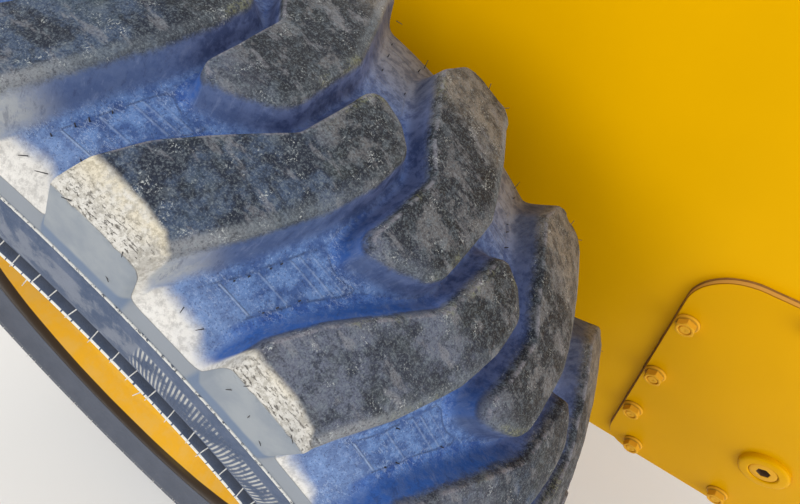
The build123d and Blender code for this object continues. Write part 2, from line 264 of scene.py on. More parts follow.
def placed(part, x, y, z):
    verts, faces = part
    return np.asarray(verts, float) + (x, y, z), faces


def pointed(part, place, direction):
    """A turned solid moved to a place, with its outboard direction turned to the one given."""
    verts, faces = part
    turn = np.array(Vector((0, -1, 0)).rotation_difference(Vector(direction)).to_matrix())
    return np.asarray(verts, float) @ turn.T + np.array(place), faces


def on_circle(part, count, diameter, y):
    """Copies of a part round the axis, at one y."""
    radius = diameter / 2
    return joined([placed(part, radius * math.cos(t), y, radius * math.sin(t)) for t in full_turn(count)])


def at(radius, y, angle):
    """The point at an angle round the wheel, y from the wheel's middle."""
    turn = math.radians(angle)
    return radius * math.sin(turn), WHEEL_Y + y, radius * math.cos(turn)


def add_piece(name, part, material, body, replaces=(), crease=35, attributes=None):
    """A mesh object from (vertices in mm, faces) that rides on a body."""
    verts, faces = part
    mesh = bpy.data.meshes.new(name)
    mesh.from_pydata([tuple(v) for v in np.asarray(verts, float) * MM], [], faces)
    for key, values in (attributes or {}).items():
        mesh.attributes.new(key, "FLOAT", "POINT").data.foreach_set("value", np.asarray(values, np.float32))
    solid = bmesh.new()
    solid.from_mesh(mesh)
    bmesh.ops.recalc_face_normals(solid, faces=solid.faces)
    solid.to_mesh(mesh)
    solid.free()
    mesh.polygons.foreach_set("use_smooth", [True] * len(mesh.polygons))
    if crease < 180:
        mesh.set_sharp_from_angle(angle=math.radians(crease))
    mesh.materials.append(material)
    piece = bpy.data.objects.new(name, mesh)
    bpy.context.scene.collection.objects.link(piece)
    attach(piece, body)
    if replaces:
        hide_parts(*replaces)
    return piece


# Tread: one pitch is laid out flat, as u round the tyre and v across it, meshed and then wrapped round

BAR_VALUES = ("bar_share", "bar_edge", "bar_front")
PITCHES = 20
PITCH_DEG = 360 / PITCHES
FLAT_R = 405.0
PITCH_U = FLAT_R * math.radians(PITCH_DEG)
RIM_STEPS = 20

# Section from the tread's centre to the sidewall: (bar top y, bar top r, groove floor y, groove floor r)
SECTION = np.array([
    (0.0, 415.5, 0.0, 391.0),
    (30.0, 414.4, 30.0, 390.2),
    (60.0, 411.1, 60.0, 387.0),
    (90.0, 405.6, 90.0, 380.4),
    (112.0, 400.2, 110.0, 373.0),
    (124.0, 396.8, 121.0, 367.4),
    (130.4, 394.6, 126.0, 364.2),
    (132.2, 392.8, 128.5, 362.4),
    (133.6, 388.0, 130.5, 360.8),
    (138.4, 369.0, 135.5, 356.6),
    (142.4, 355.0, 139.0, 351.6),
    (142.4, 350.0, 140.6, 348.6),
    (141.3, 346.0, 141.3, 346.0),
])
SECTION_V = run_along(SECTION[:, :2])
EDGE_V = SECTION_V[-1]
PAST_EDGE = 8.0
TOP_ROWS = 9
SHOULDER_ROWS = SECTION_V[4:-1]

# Tops of a bar of each side: (y, degrees). The outer end runs down the shoulder to the sidewall. The inboard
# bar is laid out outboard too, then mirrored and turned by half a pitch.
OUTBOARD_BAR = [
    (-150.0, 21.2), (-129.0, 21.5), (-112.0, 21.9), (-87.0, 23.7), (-57.0, 26.8), (-27.0, 29.9), (5.0, 30.4),
    (36.0, 30.6), (30.0, 34.2), (19.0, 36.4), (-12.0, 36.5), (-45.0, 35.6), (-86.0, 33.2), (-114.0, 31.0),
    (-129.0, 30.0), (-150.0, 29.6),
]
INBOARD_BAR = [
    (-150.0, 27.6), (-133.0, 26.6), (-124.0, 24.8), (-98.0, 23.7), (-72.0, 25.7), (-42.0, 28.0),
    (-22.0, 30.4), (14.0, 30.4), (44.0, 30.1), (35.0, 33.4), (24.0, 36.0), (14.0, 36.8), (-42.0, 36.9),
    (-78.0, 34.9), (-116.0, 32.5), (-133.0, 31.9), (-150.0, 31.6),
]
BAR_CORNER = 11.0

# Wall of a bar: (distance out from its top outline, share of the groove's depth left on its rear side and on
# its front side, whose edge is worn round)
WALL = np.array([
    (-10.0, 1.0, 1.0), (-6.4, 1.0, 0.984), (-3.2, 1.0, 0.962), (-1.2, 0.995, 0.945), (-0.4, 0.97, 0.93),
    (0.4, 0.91, 0.905), (2.6, 0.60, 0.72), (4.4, 0.38, 0.47), (6.2, 0.215, 0.27), (8.2, 0.105, 0.13),
    (10.8, 0.035, 0.045), (14.0, 0.0, 0.0),
])

# How the rear side's wall gives way to the front side's, by the part along u of the way to the bar
FRONT_SOFT = 0.7
FRONT_START = 0.4

# Mesh of the tread: steps along the loops and the grid, and the least distances between its points
LOOP_STEP = 5.0
LOOP_SLACK = 0.35
GRID_STEP = 8.0
GRID_SQUASH = 0.87
GRID_SHAKE = 0.06
LEAST_STEP = 0.8
LEAST_APART = 0.55
PITCHES_BESIDE = 2
BARS_BESIDE = 3


def run_of(y):
    """Distance v across the tread, over the bars, of a place y from its centre."""
    top_y, top_v = SECTION[:TOP_ROWS, 0], SECTION_V[:TOP_ROWS]
    return np.sign(y) * (np.interp(abs(y), top_y, top_v) if abs(y) < top_y[-1] else EDGE_V + PAST_EDGE)


def resample(outline, step, rows):
    """Evenly spaced points on a closed outline, with points kept where it crosses the given rows of v."""
    out = []
    for here, there in zip(outline, outline[1:] + outline[:1]):
        cuts = [0.0, 1.0]
        for row in rows:
            if (here[1] - row) * (there[1] - row) < 0:
                cuts.append((row - here[1]) / (there[1] - here[1]))
        cuts.sort()
        for low, high in zip(cuts, cuts[1:]):
            length = np.linalg.norm(there - here) * (high - low)
            count = max(1, round(length / step))
            out += [here + (there - here) * (low + (high - low) * n / count) for n in range(count)]
    points = np.array(out)
    apart = np.linalg.norm(points - np.roll(points, 1, axis=0), axis=1)
    return points[apart > LEAST_STEP]


def signed_distance(points, outline):
    """Distance of each point from a closed outline, less than zero inside, and that way's part along u."""
    start = outline[None, :, :]
    run = (np.roll(outline, -1, axis=0) - outline)[None, :, :]
    to = points[:, None, :] - start
    share = np.clip((to * run).sum(-1) / (run ** 2).sum(-1), 0, 1)
    away = to - share[..., None] * run
    apart = np.linalg.norm(away, axis=-1)
    each = np.arange(len(points))
    nearest = apart.argmin(1)
    low, high = start[..., 1], start[..., 1] + run[..., 1]
    height = points[:, None, 1]
    crossing = (low > height) != (high > height)
    with np.errstate(divide="ignore", invalid="ignore"):
        at_u = start[..., 0] + run[..., 0] * (height - low) / (high - low)
    inside = (crossing & (points[:, None, 0] < at_u)).sum(1) % 2 == 1
    distance = apart[each, nearest] * np.where(inside, -1, 1)
    return distance, away[each, nearest, 0] / np.where(distance == 0, 1, distance)


def bar_outlines():
    """Flat outlines of the outboard bar and of the inboard one, where they lie on the tread."""
    rows = np.concatenate([-SHOULDER_ROWS, SHOULDER_ROWS])
    flat = []
    for bar in (OUTBOARD_BAR, INBOARD_BAR):
        corners = [(FLAT_R * math.radians(angle), run_of(y)) for y, angle in bar]
        flat.append(resample(rounded(corners, BAR_CORNER, closed=True), LOOP_STEP, rows))
    return [flat[0], (flat[1] * (1, -1) + (PITCH_U / 2, 0))[::-1]]


def bar_share(points, outlines):
    """How far the surface at each flat point stands towards the bars' tops, from 0 on a groove's floor to 1,
    its distance out from the nearest bar, and how much it lies in front of that bar, from -1 to 1."""
    floor = np.ones(len(points))
    nearest = np.full(len(points), np.inf)
    facing = np.zeros(len(points))
    for outline in outlines:
        for copy in range(-BARS_BESIDE, BARS_BESIDE + 1):
            distance, along = signed_distance(points, outline + (copy * PITCH_U, 0))
            front = np.clip(along / FRONT_SOFT + FRONT_START, 0, 1)
            rear_left, front_left = [np.interp(distance, WALL[:, 0], WALL[:, side]) for side in (1, 2)]
            floor *= 1 - (1 - front) * rear_left - front * front_left
            facing = np.where(distance < nearest, along, facing)
            nearest = np.minimum(nearest, distance)
    return 1 - floor, nearest, facing


def tread_points(outlines):
    """Flat mesh points of one pitch: loops along each bar's edge and wall, and a grid between them."""
    loops = []
    for outline in outlines:
        along = unit(np.roll(outline, -1, axis=0) - np.roll(outline, 1, axis=0))
        square = np.stack([along[:, 1], -along[:, 0]], 1)
        if signed_distance(outline[:1] + square[:1], outline)[0] < 0:
            square = -square
        for distance in WALL[:, 0]:
            loop = outline + square * distance
            _, nearest, _ = bar_share(loop, outlines)
            loops.append(loop[np.abs(nearest - distance) < LOOP_SLACK])
    loops = np.vstack(loops)
    rows = np.concatenate([np.arange(0, SHOULDER_ROWS[0], GRID_STEP * GRID_SQUASH), SHOULDER_ROWS])
    rows = np.concatenate([-rows[:0:-1], rows])
    grid = []
    for i, row in enumerate(rows):
        count = round(PITCH_U / (GRID_STEP if abs(row) < SHOULDER_ROWS[0] else LOOP_STEP + 1))
        shake = rng.uniform(-GRID_SHAKE, GRID_SHAKE, count)
        u = (np.arange(count) + 0.5 * (i % 2) + shake) * PITCH_U / count
        grid.append(np.stack([u, np.full(count, row)], 1))
    grid = np.vstack(grid)
    _, nearest, _ = bar_share(grid, outlines)
    grid = grid[(nearest < WALL[0, 0] - 2) | (nearest > WALL[-1, 0] + 1)]
    inner = np.vstack([loops, grid])
    inner = inner[np.abs(inner[:, 1]) < EDGE_V - 2.0]
    edge_u = np.arange(RIM_STEPS) * PITCH_U / RIM_STEPS
    edges = np.vstack([np.stack([edge_u, np.full(RIM_STEPS, side * EDGE_V)], 1) for side in (-1, 1)])
    kept = list(edges)
    for point in inner:
        apart = np.array(kept) - point
        apart[:, 0] -= PITCH_U * np.round(apart[:, 0] / PITCH_U)
        if np.linalg.norm(apart, axis=1).min() > LEAST_APART:
            kept.append(point)
    return np.array(kept)


# Wear of the bars' tops and of their outer ends, which lie this far from the tread's centre
TOP_WEAR = 0.35
EDGE_WEAR = 0.9
WORN_ENDS = (118.0, 130.0, 140.0, 146.0)


def worn(verts, shares):
    """The tread with the small unevenness of its worn tops, more along the bars' outer ends."""
    radii = np.hypot(verts[:, 0], verts[:, 2])
    ends = np.interp(np.abs(verts[:, 1]), WORN_ENDS, (0, 1, 1, 0))
    amount = np.interp(shares, (0.8, 0.95), (0, 1)) * (TOP_WEAR + ends * EDGE_WEAR)
    rise = np.array([noise.noise(Vector(v) / 6.5) + 0.8 * noise.noise(Vector(v) / 17) for v in verts])
    return verts * (1 + np.stack([amount * rise / radii, 0 * radii, amount * rise / radii], 1))


def tread():
    """Vertices and faces of the whole tread, and three values a vertex from bar_share."""
    outlines = bar_outlines()
    points = tread_points(outlines)
    count = len(points)
    values = np.stack(bar_share(points, outlines))
    shares = values[0]
    copies = range(-PITCHES_BESIDE, PITCHES_BESIDE + 1)
    flat = [Vector(point + (copy * PITCH_U, 0)) for copy in copies for point in points]
    _, _, triangles, sources, _, _ = delaunay_2d_cdt(flat, [], [], 0, 1e-4)
    first = [source[0] for source in sources]
    base = []
    for triangle in triangles:
        corners = [(first[v] % count, first[v] // count - PITCHES_BESIDE) for v in triangle]
        if min(corners)[1] == 0:
            base.append(corners)
    faces = [
        tuple((copy + turn) % PITCHES * count + index for index, copy in corners)
        for turn in range(PITCHES) for corners in base
    ]
    v = np.abs(points[:, 1])
    top_y, top_r, floor_y, floor_r = [np.interp(v, SECTION_V, column) for column in SECTION.T]
    y = np.sign(points[:, 1]) * (floor_y + shares * (top_y - floor_y))
    r = floor_r + shares * (top_r - floor_r)
    verts = []
    for turn in range(PITCHES):
        angle = points[:, 0] / FLAT_R + math.radians(PITCH_DEG) * turn
        verts.append(np.stack([r * np.sin(angle), y, r * np.cos(angle)], 1))
    values = np.tile(values, PITCHES)
    return worn(np.vstack(verts), values[0]), faces, values


# Sidewall and bead, from the tread's edge inwards: (r, distance from the tread's centre). It has a thin ridge
# below the bars, fine steps, and a guard that stands out over the rim, with a ledge above it.
SIDEWALL = [
    (344.9, 141.0), (344.4, 142.2), (343.0, 142.4), (342.2, 141.4), (336.0, 143.2), (326.0, 145.8),
    (315.0, 147.9), (304.0, 148.9), (295.0, 148.4), (286.0, 147.0), (285.0, 146.2), (283.8, 145.9),
    (277.0, 144.8), (276.2, 144.0), (275.0, 143.6), (270.0, 142.8), (264.0, 142.0), (260.5, 142.2),
    (258.8, 144.0), (258.0, 147.0), (257.4, 149.6), (256.4, 150.2), (255.2, 149.2),
    (252.0, 144.0), (245.0, 138.6), (237.0, 135.0), (230.0, 132.6), (225.0, 131.4), (223.0, 130.4),
    (222.9, 126.0), (221.5, 123.8), (213.0, 123.5), (211.3, 122.0), (203.8, 96.0),
]
CARCASS_INSIDE = [(216.0, 98.0), (250.0, 122.0), (304.0, 141.0), (345.0, 128.0), (366.0, 98.0), (373.0, 60.0)]
CROWN_INSIDE = (376.0, 0.0)
FAR_FROM_BARS = 40.0


def tyre():
    verts, faces, values = tread()
    half = SIDEWALL + CARCASS_INSIDE
    inside = [(r, -y) for r, y in half] + [CROWN_INSIDE] + [(r, y) for r, y in reversed(half)]
    ring_count = PITCHES * RIM_STEPS
    ring_verts, ring_quads = revolve(inside, ring_count, closed=False)
    base = len(verts)
    rows = len(inside)
    per_pitch = len(verts) // PITCHES
    flip = [tuple(base + v for v in quad[::-1]) for quad in ring_quads]
    for i in range(ring_count):
        j = (i + 1) % ring_count
        here = i // RIM_STEPS * per_pitch + i % RIM_STEPS
        there = j // RIM_STEPS * per_pitch + j % RIM_STEPS
        flip.append((here, there, base + j * rows, base + i * rows)[::-1])
        here += RIM_STEPS
        there += RIM_STEPS
        flip.append((here, there, base + (j + 1) * rows - 1, base + (i + 1) * rows - 1))
    verts = np.vstack([verts, ring_verts]) + (0, WHEEL_Y, 0)
    values = np.hstack([values, np.tile([[0.0], [FAR_FROM_BARS], [0.0]], len(ring_verts))])
    return (verts, faces + flip), values


# Raised lines on the floor of each groove, by their distance from the tread's centre, and the strip that they
# leave bare beside the bars
FLOOR_LINES = (103.5, 86.0, 69.3, 64.5, 58.7)
FLOOR_EDGE = 15.5


# Vents: thin hairs that the mould leaves on the rubber, with the chance that one is still there, and how far
# from a raised line those of the grooves stand
BESIDE_LINE = (-6.0, 5.0)
GROOVE_VENT_CHANCE = 0.5
EDGE_VENT_CHANCE = 0.25
SHOULDER_VENT_CHANCE = 0.85


def groove_vents():
    """Short ones beside both ends of each raised line."""
    outlines = bar_outlines()
    u = np.arange(0, PITCH_U, 0.5)
    parts = []
    for side in (-1, 1):
        for y in [line + beside_line for line in FLOOR_LINES[:3] for beside_line in BESIDE_LINE]:
            _, nearest, _ = bar_share(np.stack([u, np.full(len(u), side * run_of(y))], 1), outlines)
            clear = nearest > FLOOR_EDGE + 1
            floor_r = np.interp(y, SECTION[:, 2], SECTION[:, 3])
            for end in u[np.flatnonzero(clear != np.roll(clear, 1))]:
                for angle in math.degrees(end / FLAT_R) + PITCH_DEG * np.arange(PITCHES):
                    if rng.random() < GROOVE_VENT_CHANCE:
                        tip_r = floor_r + rng.uniform(1.5, 3.5)
                        foot = at(floor_r - 1.0, side * y, angle)
                        parts.append(whisker([foot, at(tip_r, side * y, angle)], (0.5, 0.35)))
    return joined(parts)


RIM_VENTS = 92
LEDGE_VENT = (265.0, 143.0), (264.0, 147.0), (263.0, 150.6)
LEDGE_VENT_LONGER = 2.4
EDGE_VENT = (256.8, 148.6), (256.0, 154.7)


def rim_vents():
    """Straight ones on the ledge over the rim guard, and a few on its edge."""
    parts = []
    for side in (-1, 1):
        for i in range(RIM_VENTS):
            angle = (i + rng.uniform(-0.15, 0.15)) * 360 / RIM_VENTS
            lean = rng.uniform(-0.4, 0.4)
            longer = (0.0, 0.0, rng.uniform(0.0, LEDGE_VENT_LONGER))
            points = [at(r, side * (y + more), angle + lean * share)
                      for (r, y), more, share in zip(LEDGE_VENT, longer, (0.0, 0.5, 1.0))]
            parts.append(whisker(points, (0.45, 0.4, 0.3)))
            if rng.random() < EDGE_VENT_CHANCE:
                angle += rng.uniform(1.0, 3.0)
                leans = (0.0, rng.uniform(-0.6, 0.6))
                points = [at(r, side * y, angle + lean) for (r, y), lean in zip(EDGE_VENT, leans)]
                parts.append(whisker(points, (0.45, 0.3)))
    return joined(parts)


# Vents of the shoulder: (share of the way over the bar's end, foot, tip), each (r, y, degrees further)
SHOULDER_VENTS = [
    (0.0, (380.5, 134.2, 4.2), (374.5, 137.6, 4.5)),
    (0.0, (366.8, 138.0, 6.2), (366.4, 140.0, 7.0)),
    (0.0, (380.0, 134.0, 2.0), (379.0, 137.4, 1.4)),
    (0.0, (391.4, 130.4, 1.7), (395.6, 134.0, 1.2)),
    (1.0, (391.4, 130.4, -1.7), (395.4, 134.2, -1.2)),
    (0.5, (366.0, 122.0, 8.0), (372.0, 127.0, 8.2)),
    (0.5, (366.0, 122.0, 10.2), (371.0, 127.0, 9.8)),
]


def shoulder_vents():
    """Dark ones on the outer ends of the bars and at the mouths of the grooves."""
    parts = []
    for side, bar, turn in ((-1, OUTBOARD_BAR, 0.0), (1, INBOARD_BAR, PITCH_DEG / 2)):
        low, high = bar[1][1] + turn, bar[-2][1] + turn
        for i in range(PITCHES):
            shake = rng.uniform(-0.4, 0.4, 4)
            for j, (share, foot, tip) in enumerate(SHOULDER_VENTS):
                move = i * PITCH_DEG + shake[j % 4] + low + share * (high - low)
                if rng.random() < SHOULDER_VENT_CHANCE:
                    points = [at(r, side * y, angle + move) for r, y, angle in (foot, tip)]
                    parts.append(whisker(points, (0.36, 0.22)))
    return joined(parts)


# Rim and disc: (r, y from the wheel's middle)
RIM_FACE = [
    (221.6, -124.6), (211.0, -124.0), (203.5, -96.0), (178.0, -62.0), (178.0, 26.0), (203.5, 96.0),
    (211.0, 124.0), (221.6, 124.6),
]
RIM_RADII = [0, 3.5, 12, 16, 16, 12, 3.5, 0]
RIM_T = 6.0
DISC_FACE = [(77.4, 0.0), (122.0, 0.0), (146.0, -30.0), (171.6, -30.0), (171.6, -4.0)]
DISC_RADII = [0, 16, 18, 7, 0]
DISC_T = 10.0
WHEEL_TURNS = 128
DISC_WELD_R = 171.8
DISC_WELD_Y = 29.5

# Rounded end of a lip: (share of the way across it, share of its thickness outwards)
LIP_ROUND = [(0.12, 0.1), (0.3, 0.15), (0.7, 0.15), (0.88, 0.1)]


def lipped(line, thickness):
    """A closed outline of the given thickness on the left of a line, with its two ends rounded off."""
    back = beside(line, thickness)
    ends = []
    for start, end in ((line[-1], back[-1]), (back[0], line[0])):
        start, across = np.array(start), np.array(end) - np.array(start)
        out = np.array([across[1], -across[0]])
        ends.append([start + across * share + out * bulge for share, bulge in LIP_ROUND])
    return list(line) + ends[0] + back[::-1] + ends[1]


def rim_barrel():
    outline = lipped(rounded(RIM_FACE, RIM_RADII), RIM_T)
    return placed(revolve([(min(r, 222.4), y) for r, y in outline], WHEEL_TURNS), 0, WHEEL_Y, 0)


def wheel_disc():
    line = rounded(DISC_FACE, DISC_RADII)
    outline = line + beside(line, DISC_T)[::-1]
    disc = placed(revolve(outline, WHEEL_TURNS), 0, WHEEL_Y, 0)
    return joined([disc, ring_weld(DISC_WELD_R, WHEEL_Y - DISC_WELD_Y, 6.5, inwards=True)])


# Valve in the rim's outboard ramp
VALVE_ANGLE = 300.0
VALVE_FOOT = (186.2, -82.4)
VALVE_ROWS = [
    (6.5, -3.0), (7.6, 0.0), (7.6, 2.0), (6.4, 3.0), (4.6, 3.4), (4.3, 22.0), (3.8, 23.0), (3.8, 24.2),
    (4.9, 24.4), (5.1, 25.2), (5.1, 33.0), (4.4, 34.6), (2.6, 35.2),
]


def valve():
    r, y = VALVE_FOOT
    turn = math.radians(VALVE_ANGLE)
    direction = Vector((-0.8 * math.sin(turn), -0.6, -0.8 * math.cos(turn)))
    return pointed(turned(VALVE_ROWS, 20), at(r, y, VALVE_ANGLE), direction)


# Wheel nuts, coned at their seat, on studs whose threads stand out of them
NUT_PCD = 203.2
WHEEL_NUTS = 8


def wheel_nut():
    corner = hexagonal(27.0)
    rows = [
        (12.4, 0.0), (corner, (corner - 12.4) * 0.6), (corner, 19.5 - (corner - 12.8) * 0.6), (12.8, 19.5),
        (9.4, 19.5), (8.4, 18.4), (7.2, 18.6),
    ]
    for i in range(3):
        rows += [(7.9, 19.2 + i * 1.5), (7.1, 19.95 + i * 1.5)]
    return turned(rows + [(7.1, 23.4), (6.2, 24.0)])


def wheel_nuts():
    return on_circle(wheel_nut(), WHEEL_NUTS, NUT_PCD, DISC_FACE_Y)


# Axle: (radius, y) from its inner end to the hub's dished face
AXLE = [
    (30.5, -48.0), (32.0, -49.5), (32.0, -370.0), (33.8, -375.5), (39.0, -378.0), (120.5, -378.0),
    (122.0, -379.5), (122.0, -392.5), (120.5, -394.0), (77.0, -394.0), (75.8, -394.6), (75.8, -404.2),
    (74.0, -406.0), (53.6, -406.0), (52.2, -404.6), (50.6, -398.9), (49.4, -398.0), (9.0, -398.0),
    (5.0, -394.0), (3.6, -389.0),
]


def axle():
    inner_end = AXLE[0][1]
    return placed(turned([(r, inner_end - y) for r, y in AXLE], 96), 0, inner_end, 0)


# Axle housing: (r, y) of its tube and of the flange that bolts to the side plate
HOUSING_TUBE = [
    (32.6, -370.0), (58.0, -370.0), (59.0, -367.5), (64.0, -367.5), (65.0, -370.0), (78.0, -370.0),
    (80.0, -368.0), (80.0, -338.0), (78.6, -336.2), (73.0, -335.0), (69.4, -332.4), (68.0, -328.0),
    (68.0, -160.0), (32.6, -160.0),
]
HOUSING_FLANGE = [(68.4, -188.0), (153.2, -188.0), (155.0, -186.2), (155.0, -170.0), (68.4, -170.0)]
HOUSING_PCD = 260.0
HOUSING_BOLTS = 8
TUBE_R = 68.0
GUSSETS = 8
GUSSET_HALF_T = 5.0
GUSSET_ROOT_R = 74.0
GUSSET_FOOT_R = 116.0
GUSSET_TIP_Y = -288.0
GUSSET_WELD_LEG = 5.0
GUSSET_WELD_GAP = 6.0
HOUSING_HOLE_R = 68.4


def housing_tube():
    return revolve(HOUSING_TUBE, 96)


def housing_flange():
    face_y, back_y = faces_of("housing_flange")
    welds = [ring_weld(TUBE_R, face_y, 7.0), ring_weld(155.0, back_y, 6.0)]
    return joined([revolve(HOUSING_FLANGE, 96)] + welds)


def gusset_welds():
    """Welds along both sides of each gusset's foot, and up the tube."""
    flange_y = faces_of("housing_flange")[0]
    tube_r = math.sqrt(TUBE_R ** 2 - GUSSET_HALF_T ** 2)
    parts = []
    for i in range(GUSSETS):
        turn = math.radians((i + 0.5) * 360 / GUSSETS)
        out = np.array([math.cos(turn), 0, -math.sin(turn)])
        for side in (-1, 1):
            across = np.array([math.sin(turn), 0, math.cos(turn)]) * side
            foot = (GUSSET_ROOT_R, flange_y), (GUSSET_FOOT_R, flange_y)
            spine = (tube_r, flange_y - GUSSET_WELD_GAP), (tube_r, GUSSET_TIP_Y)
            for places, second in ((foot, (0, -1, 0)), (spine, out)):
                start, end = [out * r + (0, y, 0) + across * GUSSET_HALF_T for r, y in places]
                parts.append(weld(straight(start, end), across, second, GUSSET_WELD_LEG))
    return joined(parts)


def housing_bolts():
    corner = hexagonal(24.0)
    bolt = turned([
        (14.6, 0.0), (14.6, 1.6), (14.0, 2.2), (12.4, 2.3), (corner, 2.6),
        (corner, 10.0 - (corner - 11.4) * 0.58), (11.4, 10.0), (9.4, 9.5),
    ])
    return on_circle(bolt, HOUSING_BOLTS, HOUSING_PCD, faces_of("housing_bolts")[1])


# Chain case
PLATE_CORNER_R = 40.0
SLOPE_RUN = 110.0
SLOPE_RISE = 130.0
WALL_INSET = 14.0
CASE_WELD_LEG = 6.0
COVER_LAND = 36.0
COVER_LOW_R = 32.0
COVER_HIGH_R = 50.0
BOLT_HOLE_R = 8.75
CASE_BOLTS = [(-205.0, -150.0), (635.0, -150.0), (-205.0, 150.0), (635.0, 150.0)]


def spans(node):
    """A node's low and high x and its low and high z, in mm."""
    low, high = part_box(node)
    return low.x / MM, high.x / MM, low.z / MM, high.z / MM


REAR_X, FRONT_X, BOTTOM_Z, TOP_Z = spans("side_plate")
CASE_TOP_Z = spans("inner_wall")[3]


def case_outline(top_z):
    """Anticlockwise seen from outboard, from the foot of the rear slope."""
    return [
        (REAR_X + SLOPE_RUN, BOTTOM_Z), (FRONT_X, BOTTOM_Z), (FRONT_X, top_z), (REAR_X, top_z),
        (REAR_X, BOTTOM_Z + SLOPE_RISE),
    ]


def cover_corners(margin):
    """Corners of the cover, or of a line that far outside it, anticlockwise."""
    low_x, high_x, low_z, high_z = spans("inspection_cover")
    low_x, high_x, low_z, high_z = low_x - margin, high_x + margin, low_z - margin, high_z + margin
    return [(low_x, low_z), (high_x, low_z), (high_x, high_z), (low_x, high_z)]


def cover_outline(margin=0.0):
    radii = [COVER_LOW_R + margin] * 2 + [COVER_HIGH_R + margin] * 2
    return rounded(cover_corners(margin), radii, closed=True, step=6)


def side_plate():
    corners = [0, 0, PLATE_CORNER_R, PLATE_CORNER_R, 0]
    outline = rounded(case_outline(TOP_Z), corners, closed=True, step=6)
    land = cover_corners(-COVER_LAND)
    opening = rounded(land[:1] + land[:0:-1], COVER_LOW_R, closed=True, step=6)
    return plate([outline, opening, circle(0, 0, HOUSING_HOLE_R, 64)], PLATE_FACE_Y, PLATE_BACK_Y)


def inner_wall():
    face_y, back_y = faces_of("inner_wall")
    holes = [circle(x, z, BOLT_HOLE_R, 24) for x, z in CASE_BOLTS]
    return plate([case_outline(CASE_TOP_Z)] + holes, face_y, back_y, 0.8)


def case_welds():
    """Outside corners between the case's walls and its two plates."""
    corners = inset(case_outline(CASE_TOP_Z), WALL_INSET)
    parts = []
    for start, end in zip(corners, np.roll(corners, -1, axis=0)):
        along = (end - start) / np.linalg.norm(end - start)
        out = np.array([along[1], 0, -along[0]])
        for y, inboard in ((PLATE_BACK_Y, 1.0), (faces_of("inner_wall")[0], -1.0)):
            path = straight((start[0], y, start[1]), (end[0], y, end[1]))
            parts.append(weld(path, (0, inboard, 0), out, CASE_WELD_LEG))
    return joined(parts)


# Inspection cover with the bung welded to it, its sealant, nuts and plug
PLUG_X = 574.0
PLUG_Z = -76.0
PLUG_R = 14.1
BUNG_ROWS = [
    (24.8, 0.0), (24.8, 4.2), (24.2, 5.6), (22.8, 6.6), (21.4, 7.0), (15.2, 7.0), (14.1, 6.0), (14.1, 0.0),
]
PLUG_ROWS = [(13.8, -8.0), (13.8, 4.6), (13.2, 5.7), (12.2, 6.1), (8.0, 6.1)]
SOCKET_FLATS = 12.0
SOCKET_RIM = 1.4
SOCKET_BRINK = 5.6
SEALANT_SIDES = 8
SEALANT_HALF_W = 0.7
SEALANT_HALF_H = 0.9


def inspection_cover():
    flat = plate([cover_outline(), circle(PLUG_X, PLUG_Z, PLUG_R)], COVER_FACE_Y, PLATE_FACE_Y, 0.9)
    bung = revolve([(r, -out) for r, out in BUNG_ROWS], 48)
    return joined([flat, placed(bung, PLUG_X, COVER_FACE_Y, PLUG_Z)])


def cover_sealant():
    """The bead squeezed out round the cover, uneven along its length."""
    middle = np.array(resample(cover_outline(0.3), 4.0, []))
    out = unit(inset(middle, -1.0) - middle)
    turns = full_turn(SEALANT_SIDES)
    rings = []
    for (x, z), (out_x, out_z) in zip(middle, out):
        swell = 1 + 0.45 * noise.noise(Vector((x, 0, z)) / 14) + 0.2 * noise.noise(Vector((x, 9, z)) / 4)
        wide, tall = SEALANT_HALF_W * swell, SEALANT_HALF_H * swell
        shift = 0.5 * noise.noise(Vector((x, 4, z)) / 30)
        rings.append([(x + out_x * (shift + wide * math.cos(t)), PLATE_FACE_Y - 0.7 - tall * math.sin(t),
                       z + out_z * (shift + wide * math.cos(t))) for t in turns])
    return swept(np.array(rings), closed=True)


def cover_nut():
    """A flange nut, with the end of its stud a little below its face."""
    corner = hexagonal(17.0)
    return turned([
        (11.1, 0.0), (11.6, 0.5), (11.6, 1.5), (11.1, 2.3), (10.2, 3.1), (corner, 3.7),
        (corner, 11.0 - (corner - 8.0) * 0.6), (8.0, 11.0), (6.6, 10.9), (6.1, 10.3), (6.0, 9.2), (5.2, 9.2),
        (5.1, 10.1), (4.4, 10.6), (1.6, 10.5), (1.1, 10.0),
    ])


def cover_nuts():
    """All of them, each turned by chance."""
    parts = []
    for x, z in nut_places():
        twist = Matrix.Rotation(rng.uniform(0, 1.0), 3, "Y")
        verts, faces = cover_nut()
        parts.append(placed((verts @ np.array(twist).T, faces), x, COVER_FACE_Y, z))
    return joined(parts)


NUT_ROW_INSET = 12.0
NUT_SIDE_Z = (77.0, -19.0, -100.0)
NUT_FOOT_INSET = 22.0
NUT_CORNER_INSET = 33.0
NUT_TOP_HALF_SPAN = 38.0


def nut_places():
    low_x, high_x, low_z, high_z = spans("inspection_cover")
    middle = (low_x + high_x) / 2
    places = [(x, z) for x in (low_x + NUT_ROW_INSET, high_x - NUT_ROW_INSET) for z in NUT_SIDE_Z]
    foot = (low_x + NUT_CORNER_INSET, middle, high_x - NUT_CORNER_INSET)
    places += [(x, low_z + NUT_FOOT_INSET) for x in foot]
    return places + [(middle + side * NUT_TOP_HALF_SPAN, high_z - NUT_ROW_INSET) for side in (-1, 1)]


def oil_plug():
    corner = hexagonal(SOCKET_FLATS)
    rows = PLUG_ROWS + [(corner + 0.4, 6.1), (corner, 5.6), (corner, -1.5), (3.0, -3.0)]
    return placed(turned(rows), PLUG_X, COVER_FACE_Y, PLUG_Z)


# Materials

# Radius in metres at which the wheel's streaks are laid out flat
UNROLLED_R = 0.4


